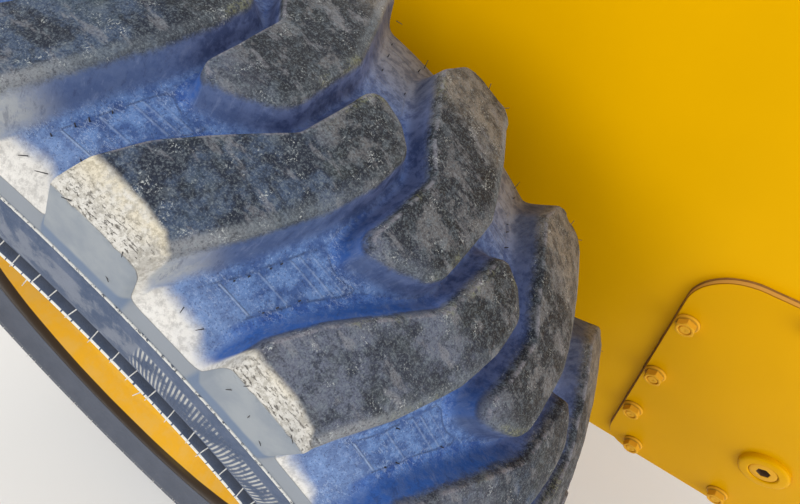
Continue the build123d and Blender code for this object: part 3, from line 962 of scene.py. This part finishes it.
def linear(tone, level=1.0):
    """A shader's colour from sRGB values out of 255, brought to a level of its brightness."""
    shares = [value / 255 for value in tone]
    return (*[level * (c / 12.92 if c <= 0.04045 else ((c + 0.055) / 1.055) ** 2.4) for c in shares], 1.0)


class Graph:
    """Short names for the shader nodes that the materials use. A colour is its sRGB values out of 255."""

    def __init__(self, name):
        self.material = bpy.data.materials.new(name)
        self.material.use_nodes = True
        self.tree = self.material.node_tree
        self.shader = self.tree.nodes["Principled BSDF"]
        self.place = self.tree.nodes.new("ShaderNodeTexCoord").outputs["Object"]

    def node(self, kind, inputs, output=0, **settings):
        node = self.tree.nodes.new("ShaderNode" + kind)
        for key, value in settings.items():
            setattr(node, key, value)
        for key, value in inputs.items():
            self.put(value, node.inputs[key])
        return node.outputs[output]

    def put(self, value, socket):
        if isinstance(value, bpy.types.NodeSocket):
            self.tree.links.new(value, socket)
        else:
            socket.default_value = linear(value) if socket.type == "RGBA" and len(value) == 3 else value

    def noise(self, size, detail=4.0, rough=0.55, place=None):
        """Noise with features about size mm across."""
        inputs = {"Scale": 1 / (size * MM), "Detail": detail, "Roughness": rough}
        return self.node("TexNoise", {"Vector": place or self.place, **inputs})

    def stretched(self, turn, scale):
        """The place turned and scaled, for streaks."""
        return self.node("Mapping", {"Vector": self.place, "Rotation": turn, "Scale": scale})

    def maths(self, operation, *values):
        """The values joined in turn by one operation, or one value's result."""
        if len(values) == 1:
            return self.node("Math", {0: values[0]}, operation=operation)
        total = values[0]
        for value in values[1:]:
            total = self.node("Math", {0: total, 1: value}, operation=operation)
        return total

    times = partialmethod(maths, "MULTIPLY")
    plus = partialmethod(maths, "ADD")
    minus = partialmethod(maths, "SUBTRACT")

    def steps(self, value, low, high, top=1.0, foot=0.0):
        """From foot to top as the value goes from low to high, smoothly. Low may be the larger."""
        if low > high:
            low, high, top, foot = high, low, foot, top
        inputs = {"Value": value, "From Min": low, "From Max": high, "To Min": foot, "To Max": top}
        return self.node("MapRange", inputs, interpolation_type="SMOOTHSTEP")

    def within(self, value, low, high, soft=1.0, top=1.0):
        """Top between low and high, and 0 past a soft edge."""
        rise = self.steps(value, low - soft, low + soft)
        return self.times(rise, self.steps(value, high + soft, high - soft, top))

    def mix(self, share, first, second):
        return self.node("Mix", {0: share, 6: first, 7: second}, output=2, data_type="RGBA")

    def blend(self, value, low, high, first, second):
        """From the first colour to the second as the value goes from low to high."""
        return self.mix(self.steps(value, low, high), first, second)

    def layers(self, tone, *rows):
        """The tone under rows of (value, low, high, share, colour), each clearer as its value nears high."""
        for value, low, high, share, layer in rows:
            tone = self.mix(self.steps(value, low, high, share), tone, layer)
        return tone

    def bump(self, height, distance):
        return self.node("Bump", {"Height": height, "Distance": distance * MM, "Strength": 1.0})

    def axes(self):
        """X, Y and Z of the place."""
        return self.node("SeparateXYZ", {0: self.place}).node.outputs

    def wheel_place(self):
        """Distance from the wheel's axis, and from its middle, in mm, and the angle round it in radians."""
        x, y, z = self.axes()
        radius = self.times(self.maths("SQRT", self.plus(self.times(x, x), self.times(z, z))), 1 / MM)
        return radius, self.minus(self.times(y, 1 / MM), WHEEL_Y), self.maths("ARCTAN2", x, z)

    def cosine_from(self, degrees):
        """Cosine of the angle from a direction round the wheel."""
        return self.maths("COSINE", self.minus(self.wheel_place()[2], math.radians(degrees)))

    def around_wheel(self, y, length, radius=0.0):
        """The place unrolled, for streaks that run length times longer round the wheel than across it."""
        along = self.times(self.wheel_place()[2], UNROLLED_R / length)
        return self.node("CombineXYZ", {0: along, 1: self.times(y, MM), 2: radius})

    def inboard_of(self, y):
        """Distance inboard of a plane square to the axle, in mm."""
        return self.minus(self.times(self.axes()[1], 1 / MM), y)

    def finish(self, tone, roughness, normal=None, **constants):
        self.put(tone, self.shader.inputs["Base Color"])
        self.put(roughness, self.shader.inputs["Roughness"])
        if normal:
            self.put(normal, self.shader.inputs["Normal"])
        for key, value in constants.items():
            self.shader.inputs[key.replace("_", " ")].default_value = value
        return self.material


# Angle round the wheel where the bars' tops get a painted sheen
SHEEN_ANGLE = 47.0
SCRATCHES = [
    # turn, scale
    ((0.3, 0.2, 0.9), (1.0, 6.0, 2.0)),
    ((1.2, 0.5, -0.6), (6.0, 1.0, 2.0)),
]


def top_rubber(g, out, y, edge, front, textures):
    """Colour of the bars' tops: bluish charcoal with specks and scratches, and browner inboard. The blue is
    painted shade, lit by a blue sky.
    """
    fine, grain, mottle, patches, clouds = textures
    hue = g.noise(46, 4, 0.6)
    wear = g.noise(10, 5, 0.68, g.around_wheel(y, 3.0))
    # Bluish charcoal: its blue is painted skylit shade
    tone = g.blend(patches, 0.43, 0.57, (20, 29, 47), (61, 76, 100))
    tone = g.layers(tone, (hue, 0.47, 0.60, 0.45, (54, 62, 54)), (clouds, 0.48, 0.60, 0.4, (100, 102, 116)))
    # Painted sheen: tops of the bars near one angle round the wheel made paler, as if they caught more light
    painted_sheen = g.steps(g.cosine_from(SHEEN_ANGLE), 0.97, 0.992)
    painted_sheen = g.times(painted_sheen, g.steps(y, -6.0, -34.0), g.steps(patches, 0.42, 0.56, 0.62, 0.12))
    charcoal = g.blend(patches, 0.50, 0.58, (18, 20, 25), (98, 96, 96))
    brown = g.blend(mottle, 0.36, 0.62, (80, 76, 72), (132, 124, 114))
    tone = g.layers(
        g.mix(painted_sheen, tone, (102, 105, 120)),
        (y, -40.0, -8.0, 0.85, charcoal),
        (mottle, 0.51, 0.66, 0.4, (100, 110, 120)),
        (mottle, 0.46, 0.34, 0.6, (20, 28, 44)),
        (g.plus(y, g.times(clouds, 60.0)), 92.0, 122.0, 0.85, brown),
        (wear, 0.55, 0.64, 0.5, (126, 126, 132)),
        (wear, 0.44, 0.35, 0.6, (26, 30, 42)),
    )
    # Painted highlight on the worn-round front edge of each top, paler towards the shoulder
    front_edge_highlight = g.times(g.within(edge, -5.5, 2.0, 2.6), g.steps(front, 0.05, 0.45),
                    g.steps(out, 20.0, 104.0, 0.8, 0.25))
    tone = g.mix(front_edge_highlight, tone, g.blend(out, 70.0, 110.0, (98, 106, 114), (134, 136, 140)))
    # Painted highlight: a pale line along the crisp rear edge of the tops, broken with the wear
    rear_lip_highlight = g.times(g.within(edge, -1.8, 0.2, 0.6, 0.6), g.steps(front, 0.1, -0.3), g.steps(wear, 0.44, 0.54))
    tone = g.mix(rear_lip_highlight, tone, (128, 126, 136))
    moss = g.times(g.within(edge, -4.0, 3.0, 2.0, 0.55), g.steps(hue, 0.53, 0.61), g.steps(grain, 0.46, 0.58),
                   g.steps(out, 100.0, 76.0))
    tone = g.layers(
        g.mix(moss, tone, (116, 114, 62)),
        (grain, 0.52, 0.64, 0.4, (110, 120, 128)),
        (grain, 0.46, 0.36, 0.5, (22, 28, 42)),
        (fine, 0.52, 0.62, 0.22, (124, 134, 140)),
        (fine, 0.48, 0.36, 0.4, (18, 24, 36)),
    )
    bright = g.steps(g.noise(13, 4, 0.65), 0.54, 0.66, 0.75, 0.06)
    for turn, scale in SCRATCHES:
        scratch = g.steps(g.noise(7, 4, 0.72, g.stretched(turn, scale)), 0.61, 0.66, 0.75)
        tone = g.mix(g.times(scratch, bright), tone, (176, 182, 184))
    return g.mix(g.times(g.steps(fine, 0.57, 0.66), bright), tone, (190, 194, 192))


def groove_rubber(g, out, y, edge, front, textures, streaks):
    """Colour of the bars' walls, slate to lilac grey, and of the mottled blue floors. Their blue is painted
    shade, lit by a blue sky, deepest on the rear walls.
    """
    fine, grain, mottle, patches, _ = textures
    wall = g.layers(
        g.blend(out, 90.0, 118.0, (70, 88, 128), (160, 164, 168)),
        # Painted shade: the rear walls a deeper blue
        (front, 0.0, -0.5, 1.0, (46, 88, 158)),
        (mottle, 0.42, 0.60, 0.3, (96, 112, 146)),
        (streaks, 0.54, 0.66, 0.25, (136, 148, 176)),
        (streaks, 0.46, 0.36, 0.35, (40, 50, 84)),
    )
    # Painted shadow: a broken dark line just under the rear edge of each bar
    rear_shadow_line = g.times(g.within(edge, 0.8, 2.4, 0.6, 0.8), g.steps(front, 0.1, -0.3),
                   g.steps(patches, 0.47, 0.53))
    wall = g.layers(
        g.mix(rear_shadow_line, wall, (34, 38, 52)),
        (y, -54.0, -6.0, 0.85, g.blend(mottle, 0.36, 0.6, (54, 65, 102), (92, 104, 144))),
        (y, 34.0, 96.0, 0.85, g.blend(streaks, 0.32, 0.64, (56, 62, 82), (98, 102, 118))),
    )
    floor = g.layers(
        g.blend(mottle, 0.38, 0.62, (58, 86, 140), (98, 130, 182)),
        (patches, 0.52, 0.66, 0.6, (56, 70, 112)),
        (out, 92.0, 116.0, 0.35, (132, 154, 192)),
    )
    # Painted shade: a deeper blue on the floor at the foot of each bar's rear wall
    rear_foot_shade = g.times(g.within(edge, 5.0, 15.0, 2.5, 0.85), g.steps(front, 0.0, -0.5),
                     g.steps(out, 126.0, 110.0))
    floor = g.layers(
        g.mix(rear_foot_shade, floor, g.blend(mottle, 0.4, 0.6, (46, 84, 156), (74, 114, 182))),
        (grain, 0.54, 0.64, 0.45, (140, 160, 198)),
        (fine, 0.44, 0.34, 0.6, (36, 48, 84)),
    )
    # Painted shade: a dark line on the floor near the foot of the walls, where its raised lines stop
    step = g.times(g.within(edge, FLOOR_EDGE - 0.9, FLOOR_EDGE + 0.5, 0.5, 0.6),
                   g.within(out, 50.0, 107.0, 3.0), g.steps(mottle, 0.42, 0.52))
    floor = g.mix(step, floor, (40, 54, 90))
    # Painted highlight along the floor's raised lines
    lines = g.times(floor_lines(g, out, edge), g.steps(grain, 0.36, 0.52, 0.75, 0.25))
    floor = g.mix(lines, floor, (152, 172, 208))
    threads = g.noise(16, 4, 0.7, g.stretched((0.4, 0.9, 0.2), (1.0, 3.0, 1.0)))
    thread = g.steps(g.maths("ABSOLUTE", g.minus(threads, 0.5)), 0.012, 0.004)
    floor = g.mix(g.times(thread, g.steps(patches, 0.46, 0.56, 0.5)), floor, (176, 190, 214))
    specks = g.times(g.steps(fine, 0.62, 0.69), g.steps(mottle, 0.46, 0.58, 0.6, 0.1))
    floor = g.layers(
        g.mix(specks, floor, (180, 196, 222)),
        (y, -70.0, 10.0, 0.55, g.blend(mottle, 0.40, 0.60, (54, 70, 118), (88, 108, 158))),
        (y, 34.0, 96.0, 0.85, g.blend(mottle, 0.36, 0.6, (90, 91, 98), (132, 130, 131))),
    )
    return g.blend(edge, 5.5, 12.0, wall, floor)


FLOOR_LINE_SHARES = (1.0, 0.55, 0.5, 0.5, 0.35)


def floor_lines(g, out, edge):
    """How much the raised lines of a groove's floor show."""
    lines = [g.within(out, y - 0.6, y + 0.6, 0.45, share) for y, share in zip(FLOOR_LINES, FLOOR_LINE_SHARES)]
    return g.times(g.plus(*lines), g.steps(edge, FLOOR_EDGE, FLOOR_EDGE + 1.5))


# Angle round the wheel where the shoulder's pale dust and painted sunlight lie thickest, and the sidewall's
# side towards the light
SUNLIT_ANGLE = 15.0


def dust_and_sunlight_cover(g, share, out, y, edge, front):
    """How much pale dust and painted sunlight lie on the outboard shoulder: most on one side of the wheel and
    on the tops. Its edge is a painted border between sun and shade.
    """
    turn = g.minus(1.0, g.cosine_from(SUNLIT_ANGLE))
    near = g.node("Clamp", {"Value": turn, "Min": 0.0, "Max": 0.2})
    ahead = g.times(g.steps(edge, -12.0, 0.0), g.steps(front, 0.0, 0.5), g.steps(edge, 3.0, 0.0))
    behind = g.times(g.steps(edge, 26.0, 8.0), g.steps(front, 0.0, -0.4))
    bare = g.times(g.within(edge, 1.5, 9.0, 1.5), g.steps(front, 0.1, 0.5))
    top = g.plus(g.times(near, 90.0), g.times(ahead, 5.0), 109.5)
    floor = g.plus(g.times(near, 60.0), g.times(behind, 8.0), 119.5)
    raised = g.steps(share, 0.25, 0.85)
    line = g.plus(g.times(top, raised), g.times(floor, g.minus(1.0, raised)), g.times(bare, 8.0),
                  g.times(g.minus(g.noise(30, 3), 0.5), 9.0))
    cover = g.steps(g.maths("DIVIDE", g.minus(out, line), g.steps(raised, 0.0, 1.0, 2.2, 4.5)), -1.0, 1.0)
    patchy = g.steps(g.minus(g.times(g.noise(70, 4), 1.4), turn), 0.0, 0.6, 0.96, 0.35)
    return g.times(cover, patchy, g.steps(y, 0.0, -20.0))


def dust_and_sunlight_tone(g, share, out, edge, front, textures, crack):
    """Colour of the dust, as pale as sunlit rubber, so partly painted sunlight: ochre in patches, grimy along
    the bars' fronts, and dark in the cracks.
    """
    _, grain, mottle, patches, _ = textures
    ochre = g.blend(grain, 0.40, 0.56, (190, 181, 160), (220, 211, 190))
    sunlit_dust = g.blend(grain, 0.40, 0.56, (182, 178, 169), (217, 214, 207))
    sunlit_dust = g.mix(g.times(g.steps(out, 128.0, 114.0), g.steps(patches, 0.40, 0.54)), sunlit_dust, ochre)
    low = g.blend(g.noise(5.0, 6, 0.78), 0.38, 0.56, (192, 189, 184), (226, 223, 217))
    grimy = g.times(g.within(edge, -7.0, 3.0, 3.0, 0.5), g.steps(front, 0.1, 0.5),
                    g.steps(mottle, 0.40, 0.56))
    sunlit_dust = g.mix(grimy, g.blend(share, 0.6, 0.2, sunlit_dust, low), (138, 134, 126))
    return g.mix(g.times(crack, 0.8), sunlit_dust, (88, 82, 74))


def sidewall_rubber(g, radius, out, angle, textures, ribs):
    """Colour of the sidewall, its pale ridge with a painted shadow under it, dusty ribs, the ledge's painted
    shade, the broken painted highlight on the guard's crest, and painted shade on the side of the wheel away
    from the light.
    """
    _, grain, _, patches, _ = textures
    wall = g.layers(
        g.blend(patches, 0.35, 0.65, (66, 82, 110), (92, 104, 128)),
        (grain, 0.55, 0.7, 0.35, (124, 130, 140)),
        # Painted shadow: a dark line under the ridge
        (radius, 340.5, 341.5, 1.0, (54, 60, 72)),
        (radius, 344.4, 345.4, 1.0, (116, 130, 150)),
    )
    ridge = g.times(g.within(radius, 342.4, 344.7, 0.3), g.steps(grain, 0.38, 0.48))
    wall = g.mix(ridge, wall, (216, 216, 212))
    dusty = g.times(g.within(radius, 299.0, 331.0, 1.0, 0.85), g.steps(ribs, -0.25, 0.6),
                    g.steps(patches, 0.42, 0.55))
    wall = g.mix(dusty, wall, (198, 198, 194))
    # Painted shade in the ledge over the guard
    wall = g.mix(g.within(radius, 257.7, 273.0, 2.0, 0.85), wall, (46, 50, 60))
    # Painted highlight: the guard's crest lit in broken white dashes, faint on the side away from the light
    shake = g.plus(g.times(angle, 176.0), g.times(g.noise(60, 2), 14.0))
    sunlit_crest_dashes = g.times(g.steps(g.maths("SINE", shake), -0.97, -0.90), g.steps(grain, 0.30, 0.38))
    line = g.times(g.within(radius, 255.2, 258.6, 0.4), g.steps(out, 148.7, 149.1), sunlit_crest_dashes)
    sunlit_side = g.steps(g.cosine_from(SUNLIT_ANGLE), -0.2, 0.4)
    wall = g.mix(g.times(line, g.steps(sunlit_side, 0.0, 1.0, 1.0, 0.2)), wall, (230, 230, 224))
    # Painted shade: the sidewall a flat dull grey on the side of the wheel away from the light
    return g.mix(g.times(g.minus(1.0, sunlit_side), 0.7), wall, (86, 88, 94))


HATCH_ANGLE = 33.5


def ribbed(g, radius, angle):
    """The fine radial ribs in the sidewall's band, in stretches with plain ones between, from -1 to 1."""
    stretch = g.steps(g.maths("SINE", g.times(g.minus(angle, math.radians(HATCH_ANGLE)), 6.0)), 0.0, 0.1)
    bend = g.plus(angle, g.times(radius, 0.0009))
    return g.times(g.maths("SINE", g.times(bend, 640.0)), stretch, g.within(radius, 300.0, 330.0))


# Noises of the rubber, fine, grain, mottle, patches and clouds: (size in mm, detail, roughness)
TEXTURES = [(1.2, 2, 0.8), (2.8, 4, 0.75), (9, 4, 0.7), (24, 6, 0.66), (90, 3)]


def rubber():
    g = Graph("tyre_rubber")
    share, edge, front = [g.node("Attribute", {}, output=2, attribute_name=name) for name in BAR_VALUES]
    radius, y, angle = g.wheel_place()
    out = g.maths("ABSOLUTE", y)
    textures = [g.noise(*row) for row in TEXTURES]
    fine, grain, mottle, patches, _ = textures
    down = g.node("CombineXYZ", {0: g.times(angle, UNROLLED_R), 1: g.times(y, 0.0003),
                                 2: g.times(radius, 0.0001)})
    streaks = g.noise(3.0, 5, 0.74, down)
    ribs = ribbed(g, radius, angle)

    top = top_rubber(g, out, y, edge, front, textures)
    groove = groove_rubber(g, out, y, edge, front, textures, streaks)
    brink = g.plus(edge, g.times(g.minus(grain, 0.5), 3.0))
    base = g.blend(brink, 0.6, 3.0, top, groove)

    # Pale dust with painted sunlight over the outboard shoulder
    cover = dust_and_sunlight_cover(g, share, out, y, edge, front)
    cracks = g.steps(g.noise(1.2, 3, 0.62, g.around_wheel(y, 3.8, g.times(radius, MM))), 0.58, 0.63)
    pits = g.steps(g.noise(1.5, 4, 0.7, g.around_wheel(y, 2.4)), 0.40, 0.34)
    crumbly = g.times(g.steps(out, 114.0, 130.0), g.steps(out, 134.0, 132.0), g.steps(share, 0.9, 0.97))
    crack = g.times(g.maths("MAXIMUM", cracks, g.times(pits, g.steps(patches, 0.46, 0.54))), crumbly)
    # The dust's colour, pale as sunlit rubber
    sunlit_dust = dust_and_sunlight_tone(g, share, out, edge, front, textures, crack)
    base = g.mix(g.times(cover, g.steps(grain, 0.26, 0.36, 1.0, 0.7)), base, sunlit_dust)

    smooth = g.blend(g.noise(30, 4), 0.35, 0.65, (132, 140, 150), (148, 154, 160))
    band = g.blend(share, 0.1, 0.5, (136, 142, 150), (106, 122, 146))
    smooth = g.blend(radius, 362.0, 359.0, smooth, band)
    end = g.steps(g.minus(out, g.steps(share, 0.35, 0.8, 132.3, 136.4)), -0.3, 0.3)
    base = g.mix(g.times(end, g.steps(y, -1.0, 1.0, 0.35, 1.0)), base, smooth)
    base = g.blend(radius, 345.6, 346.6, sidewall_rubber(g, radius, out, angle, textures, ribs), base)

    height = g.plus(g.times(mottle, 0.9), g.times(grain, 0.5), g.times(crack, -1.2),
                    g.times(fine, cover, 0.8), g.times(floor_lines(g, out, edge), 0.9), g.times(ribs, 0.4))
    calm = g.steps(g.times(end, g.steps(radius, 345.0, 347.0)), 0.0, 1.0, 0.2, 1.0)
    normal = g.bump(g.times(height, calm), 0.9)
    return g.finish(base, g.steps(patches, 0.3, 0.7, 0.82, 0.62), normal, Specular_IOR_Level=0.3)


def paint(name, tone, soil=0.0, marks_and_shading=None):
    """Gloss paint with slight orange peel, patches of dust where soil is more than 0, and its own marks and
    painted shading.
    """
    g = Graph(name)
    drift = g.noise(180, 2)
    patches = g.steps(g.noise(40, 5, 0.7), 0.5, 0.75, soil)
    base = g.mix(patches, g.blend(drift, 0.3, 0.7, linear(tone, 0.94), tone), (150, 130, 96))
    if marks_and_shading:
        base = marks_and_shading(g, base)
    roughness = g.plus(g.steps(drift, 0.3, 0.7, 0.40, 0.32), g.times(patches, 0.4))
    return g.finish(base, roughness, g.bump(g.noise(2.4, 2), 0.012), Specular_IOR_Level=0.12,
                    Specular_Tint=(1.0, 0.70, 0.08, 1.0))


def rim_lip_shade_and_dust(g, base):
    """Painted shade on the rim's lips, dark brown, and road dust in patches."""
    reach = g.plus(g.maths("ABSOLUTE", g.wheel_place()[1]), g.noise(60, 3))
    base = g.mix(g.steps(g.noise(26, 5, 0.7), 0.4, 0.62, 0.5, 0.2), base, (212, 178, 104))
    # Painted shade: the lips dark brown, past where they turn out
    return g.blend(reach, 121.0, 122.0, base, (54, 45, 40))


def cover_edge_reflection_and_shadows(g, base):
    """The cover's edge in tan, a painted sky reflection, between thin brown lines of painted shadow."""
    depth = g.plus(g.inboard_of(COVER_FACE_Y), g.times(g.minus(g.noise(12, 3), 0.5), 0.5))
    # Painted reflection: the edge tan
    base = g.mix(g.steps(depth, 0.9, 1.5, 0.9), base, (204, 158, 84))
    # Painted shadow: brown lines by the face's edge and next to the side plate
    base = g.mix(g.within(depth, 0.35, 1.1, 0.25), base, (140, 94, 28))
    return g.mix(g.within(depth, 5.4, 9.0, 0.5), base, (140, 94, 36))


def nut_foot_shadows(g, base):
    """Painted shadow: thin brown lines round the nut's foot and round the foot of its hexagon."""
    depth = g.inboard_of(COVER_FACE_Y)
    line = g.maths("MAXIMUM", g.steps(depth, -1.0, -0.5), g.within(depth, -3.9, -2.9, 0.4, 0.7))
    return g.mix(g.times(line, 0.8), base, (128, 86, 28))


def plain(name, tone, roughness, metallic=0.0, grain_size=6.0):
    g = Graph(name)
    grain = g.noise(grain_size, 4)
    base = g.blend(grain, 0.35, 0.65, linear(tone, 0.7), tone)
    return g.finish(base, g.steps(grain, 0.3, 0.7, roughness + 0.1, roughness - 0.05), g.bump(grain, 0.1),
                    Metallic=metallic)


RUBBER = rubber()
VENT_RUBBER = plain("vent_rubber", (238, 236, 230), 0.7, grain_size=4.0)
DARK_RUBBER = plain("dark_rubber", (58, 56, 58), 0.7, grain_size=4.0)
CHASSIS_PAINT = paint("chassis_paint", (230, 172, 0))
CASE_PAINT = paint("case_paint", (226, 168, 0), 0.35)
WHEEL_PAINT = paint("wheel_paint", (230, 172, 8), 0.15, rim_lip_shade_and_dust)
COVER_PAINT = paint("cover_paint", (220, 162, 0), 0.0, cover_edge_reflection_and_shadows)
NUT_PAINT = paint("nut_paint", (224, 166, 44), 0.0, nut_foot_shadows)
SEALANT = plain("sealant", (150, 102, 40), 0.5)
STEEL = plain("shaft_steel", (132, 130, 128), 0.42, 0.85)
ZINC = plain("fastener_steel", (196, 188, 164), 0.34, 0.9)
SOCKET_STEEL = plain("socket_steel", (112, 84, 62), 0.6, 0.2)
BRASS = plain("valve_brass", (198, 168, 96), 0.36, 0.9)


# Pieces: (name, shape, material, material slot, CAD nodes it stands for)

WHEEL_PIECES = [
    ("tyre_groove_vents", groove_vents, DARK_RUBBER, "tyre_rubber", []),
    ("tyre_rim_vents", rim_vents, VENT_RUBBER, "tyre_rubber", []),
    ("tyre_shoulder_vents", shoulder_vents, DARK_RUBBER, "tyre_rubber", []),
    ("rim_shell", rim_barrel, WHEEL_PAINT, "wheel_paint", ["rim_barrel"]),
    ("disc_pressing", wheel_disc, WHEEL_PAINT, "wheel_paint", ["wheel_disc"]),
    ("valve_stem", valve, BRASS, "fastener_steel", []),
    ("wheel_lug_nuts", wheel_nuts, ZINC, "fastener_steel", ["wheel_nuts"]),
    ("axle_forging", axle, STEEL, "shaft_steel", ["axle_shaft"]),
]
CHASSIS_PIECES = [
    ("housing_tube", housing_tube, CASE_PAINT, "chassis_paint", ["axle_housing"]),
    ("housing_ring", housing_flange, CASE_PAINT, "chassis_paint", ["housing_flange"]),
    ("gusset_welds", gusset_welds, CASE_PAINT, "chassis_paint", []),
    ("housing_bolt_heads", housing_bolts, CASE_PAINT, "chassis_paint", ["housing_bolts"]),
    ("side_panel", side_plate, CHASSIS_PAINT, "chassis_paint", ["side_plate"]),
    ("case_back", inner_wall, CASE_PAINT, "chassis_paint", ["inner_wall"]),
    ("case_welds", case_welds, CASE_PAINT, "chassis_paint", []),
    ("cover_pressing", inspection_cover, COVER_PAINT, "chassis_paint", ["inspection_cover"]),
    ("sealant_bead", cover_sealant, SEALANT, "sealant", ["cover_sealant"]),
    ("cover_flange_nuts", cover_nuts, NUT_PAINT, "chassis_paint", ["cover_nuts"]),
]


def add_pieces():
    part, values = tyre()
    add_piece("tyre_casing", part, RUBBER, "wheel", ["tyre"], crease=180,
              attributes=dict(zip(BAR_VALUES, values)))
    for body, rows in (("wheel", WHEEL_PIECES), ("chassis", CHASSIS_PIECES)):
        for name, shape, material, slot, nodes in rows:
            add_piece(name, shape(), material, body, nodes)
    plug = add_piece("drain_plug", oil_plug(), NUT_PAINT, "chassis", ["oil_plug"])
    plug.data.materials.append(SOCKET_STEEL)
    for face in plug.data.polygons:
        x, y, z = face.center / MM
        near = math.hypot(x - PLUG_X, z - PLUG_Z) < SOCKET_FLATS / 2 + SOCKET_RIM
        if near and y > COVER_FACE_Y - SOCKET_BRINK:
            face.material_index = 1


def dress_cad_nodes():
    slots = {item["node"]: item["material_slot"] for item in frame["record"]["subparts"]}
    looks = {"chassis_paint": CASE_PAINT, "wheel_paint": WHEEL_PAINT, "sealant": SEALANT,
             "shaft_steel": STEEL, "fastener_steel": ZINC, "tyre_rubber": DARK_RUBBER}
    for node, piece in frame["nodes"].items():
        piece.data.materials.clear()
        piece.data.materials.append(looks[slots[node]])


# Stage

CAMERA_PLACE = Vector((397.0, -608.8, 559.7)) * MM
CAMERA_AZIMUTH = 35.0
CAMERA_TILT = 46.6
CAMERA_ROLL = 1.2
CAMERA_LENS = 26.9
CAMERA_SHIFT = -0.0375


def add_camera():
    turn, tilt, roll = (math.radians(a) for a in (CAMERA_AZIMUTH, CAMERA_TILT, CAMERA_ROLL))
    look = Vector((-math.sin(turn) * math.cos(tilt), math.cos(turn) * math.cos(tilt), -math.sin(tilt)))
    right = look.cross(Vector((0, 0, 1))).normalized()
    up = right.cross(look)
    rolled_right = math.cos(roll) * right + math.sin(roll) * up
    rolled_up = math.cos(roll) * up - math.sin(roll) * right
    camera = bpy.data.objects.new("camera", bpy.data.cameras.new("camera"))
    bpy.context.scene.collection.objects.link(camera)
    camera.matrix_world = Matrix((rolled_right, rolled_up, -look)).transposed().to_4x4()
    camera.location = CAMERA_PLACE
    camera.data.sensor_width = 36.0
    camera.data.lens = CAMERA_LENS
    camera.data.shift_y = CAMERA_SHIFT
    camera.data.clip_start = 0.02
    bpy.context.scene.camera = camera


# Lights: (name, place, aim, size, power)
LIGHTS = [
    ("key", (-1.6, -2.6, 2.6), (0.1, -0.4, 0.1), 1.8, 66.0),
    ("fill", (2.4, -1.8, 1.6), (0.2, -0.3, 0.1), 2.2, 20.0),
    ("side", (2.4, -1.0, 0.4), (0.2, -0.35, 0.1), 1.6, 17.0),
    ("rim", (0.4, 2.6, 2.0), (0.2, -0.2, 0.2), 1.8, 30.0),
]
SKY_TONE = (1.0, 0.98, 0.95, 1.0)
SKY_STRENGTH = 0.66
FLOOR_TONE = (0.76, 0.75, 0.73, 1.0)
FLOOR_SIZE = 30.0


def add_light(name, place, aim, size, power):
    light = bpy.data.lights.new(name, "AREA")
    light.shape = "DISK"
    light.size = size
    light.energy = power
    lamp = bpy.data.objects.new(name, light)
    bpy.context.scene.collection.objects.link(lamp)
    lamp.location = place
    lamp.rotation_euler = (Vector(aim) - Vector(place)).to_track_quat("-Z", "Y").to_euler()


def add_stage():
    scene = bpy.context.scene
    scene.view_settings.view_transform = "Standard"
    world = bpy.data.worlds.new("studio")
    scene.world = world
    world.use_nodes = True
    sky = world.node_tree.nodes["Background"]
    sky.inputs["Color"].default_value = SKY_TONE
    sky.inputs["Strength"].default_value = SKY_STRENGTH
    bpy.ops.mesh.primitive_plane_add(size=FLOOR_SIZE, location=(0.0, 0.0, tyre_low.z))
    floor = bpy.context.object
    floor.name = "floor"
    floor.data.materials.append(Graph("floor").finish(FLOOR_TONE, 0.7))
    for row in LIGHTS:
        add_light(*row)


dress_cad_nodes()
add_pieces()
add_camera()
add_stage()
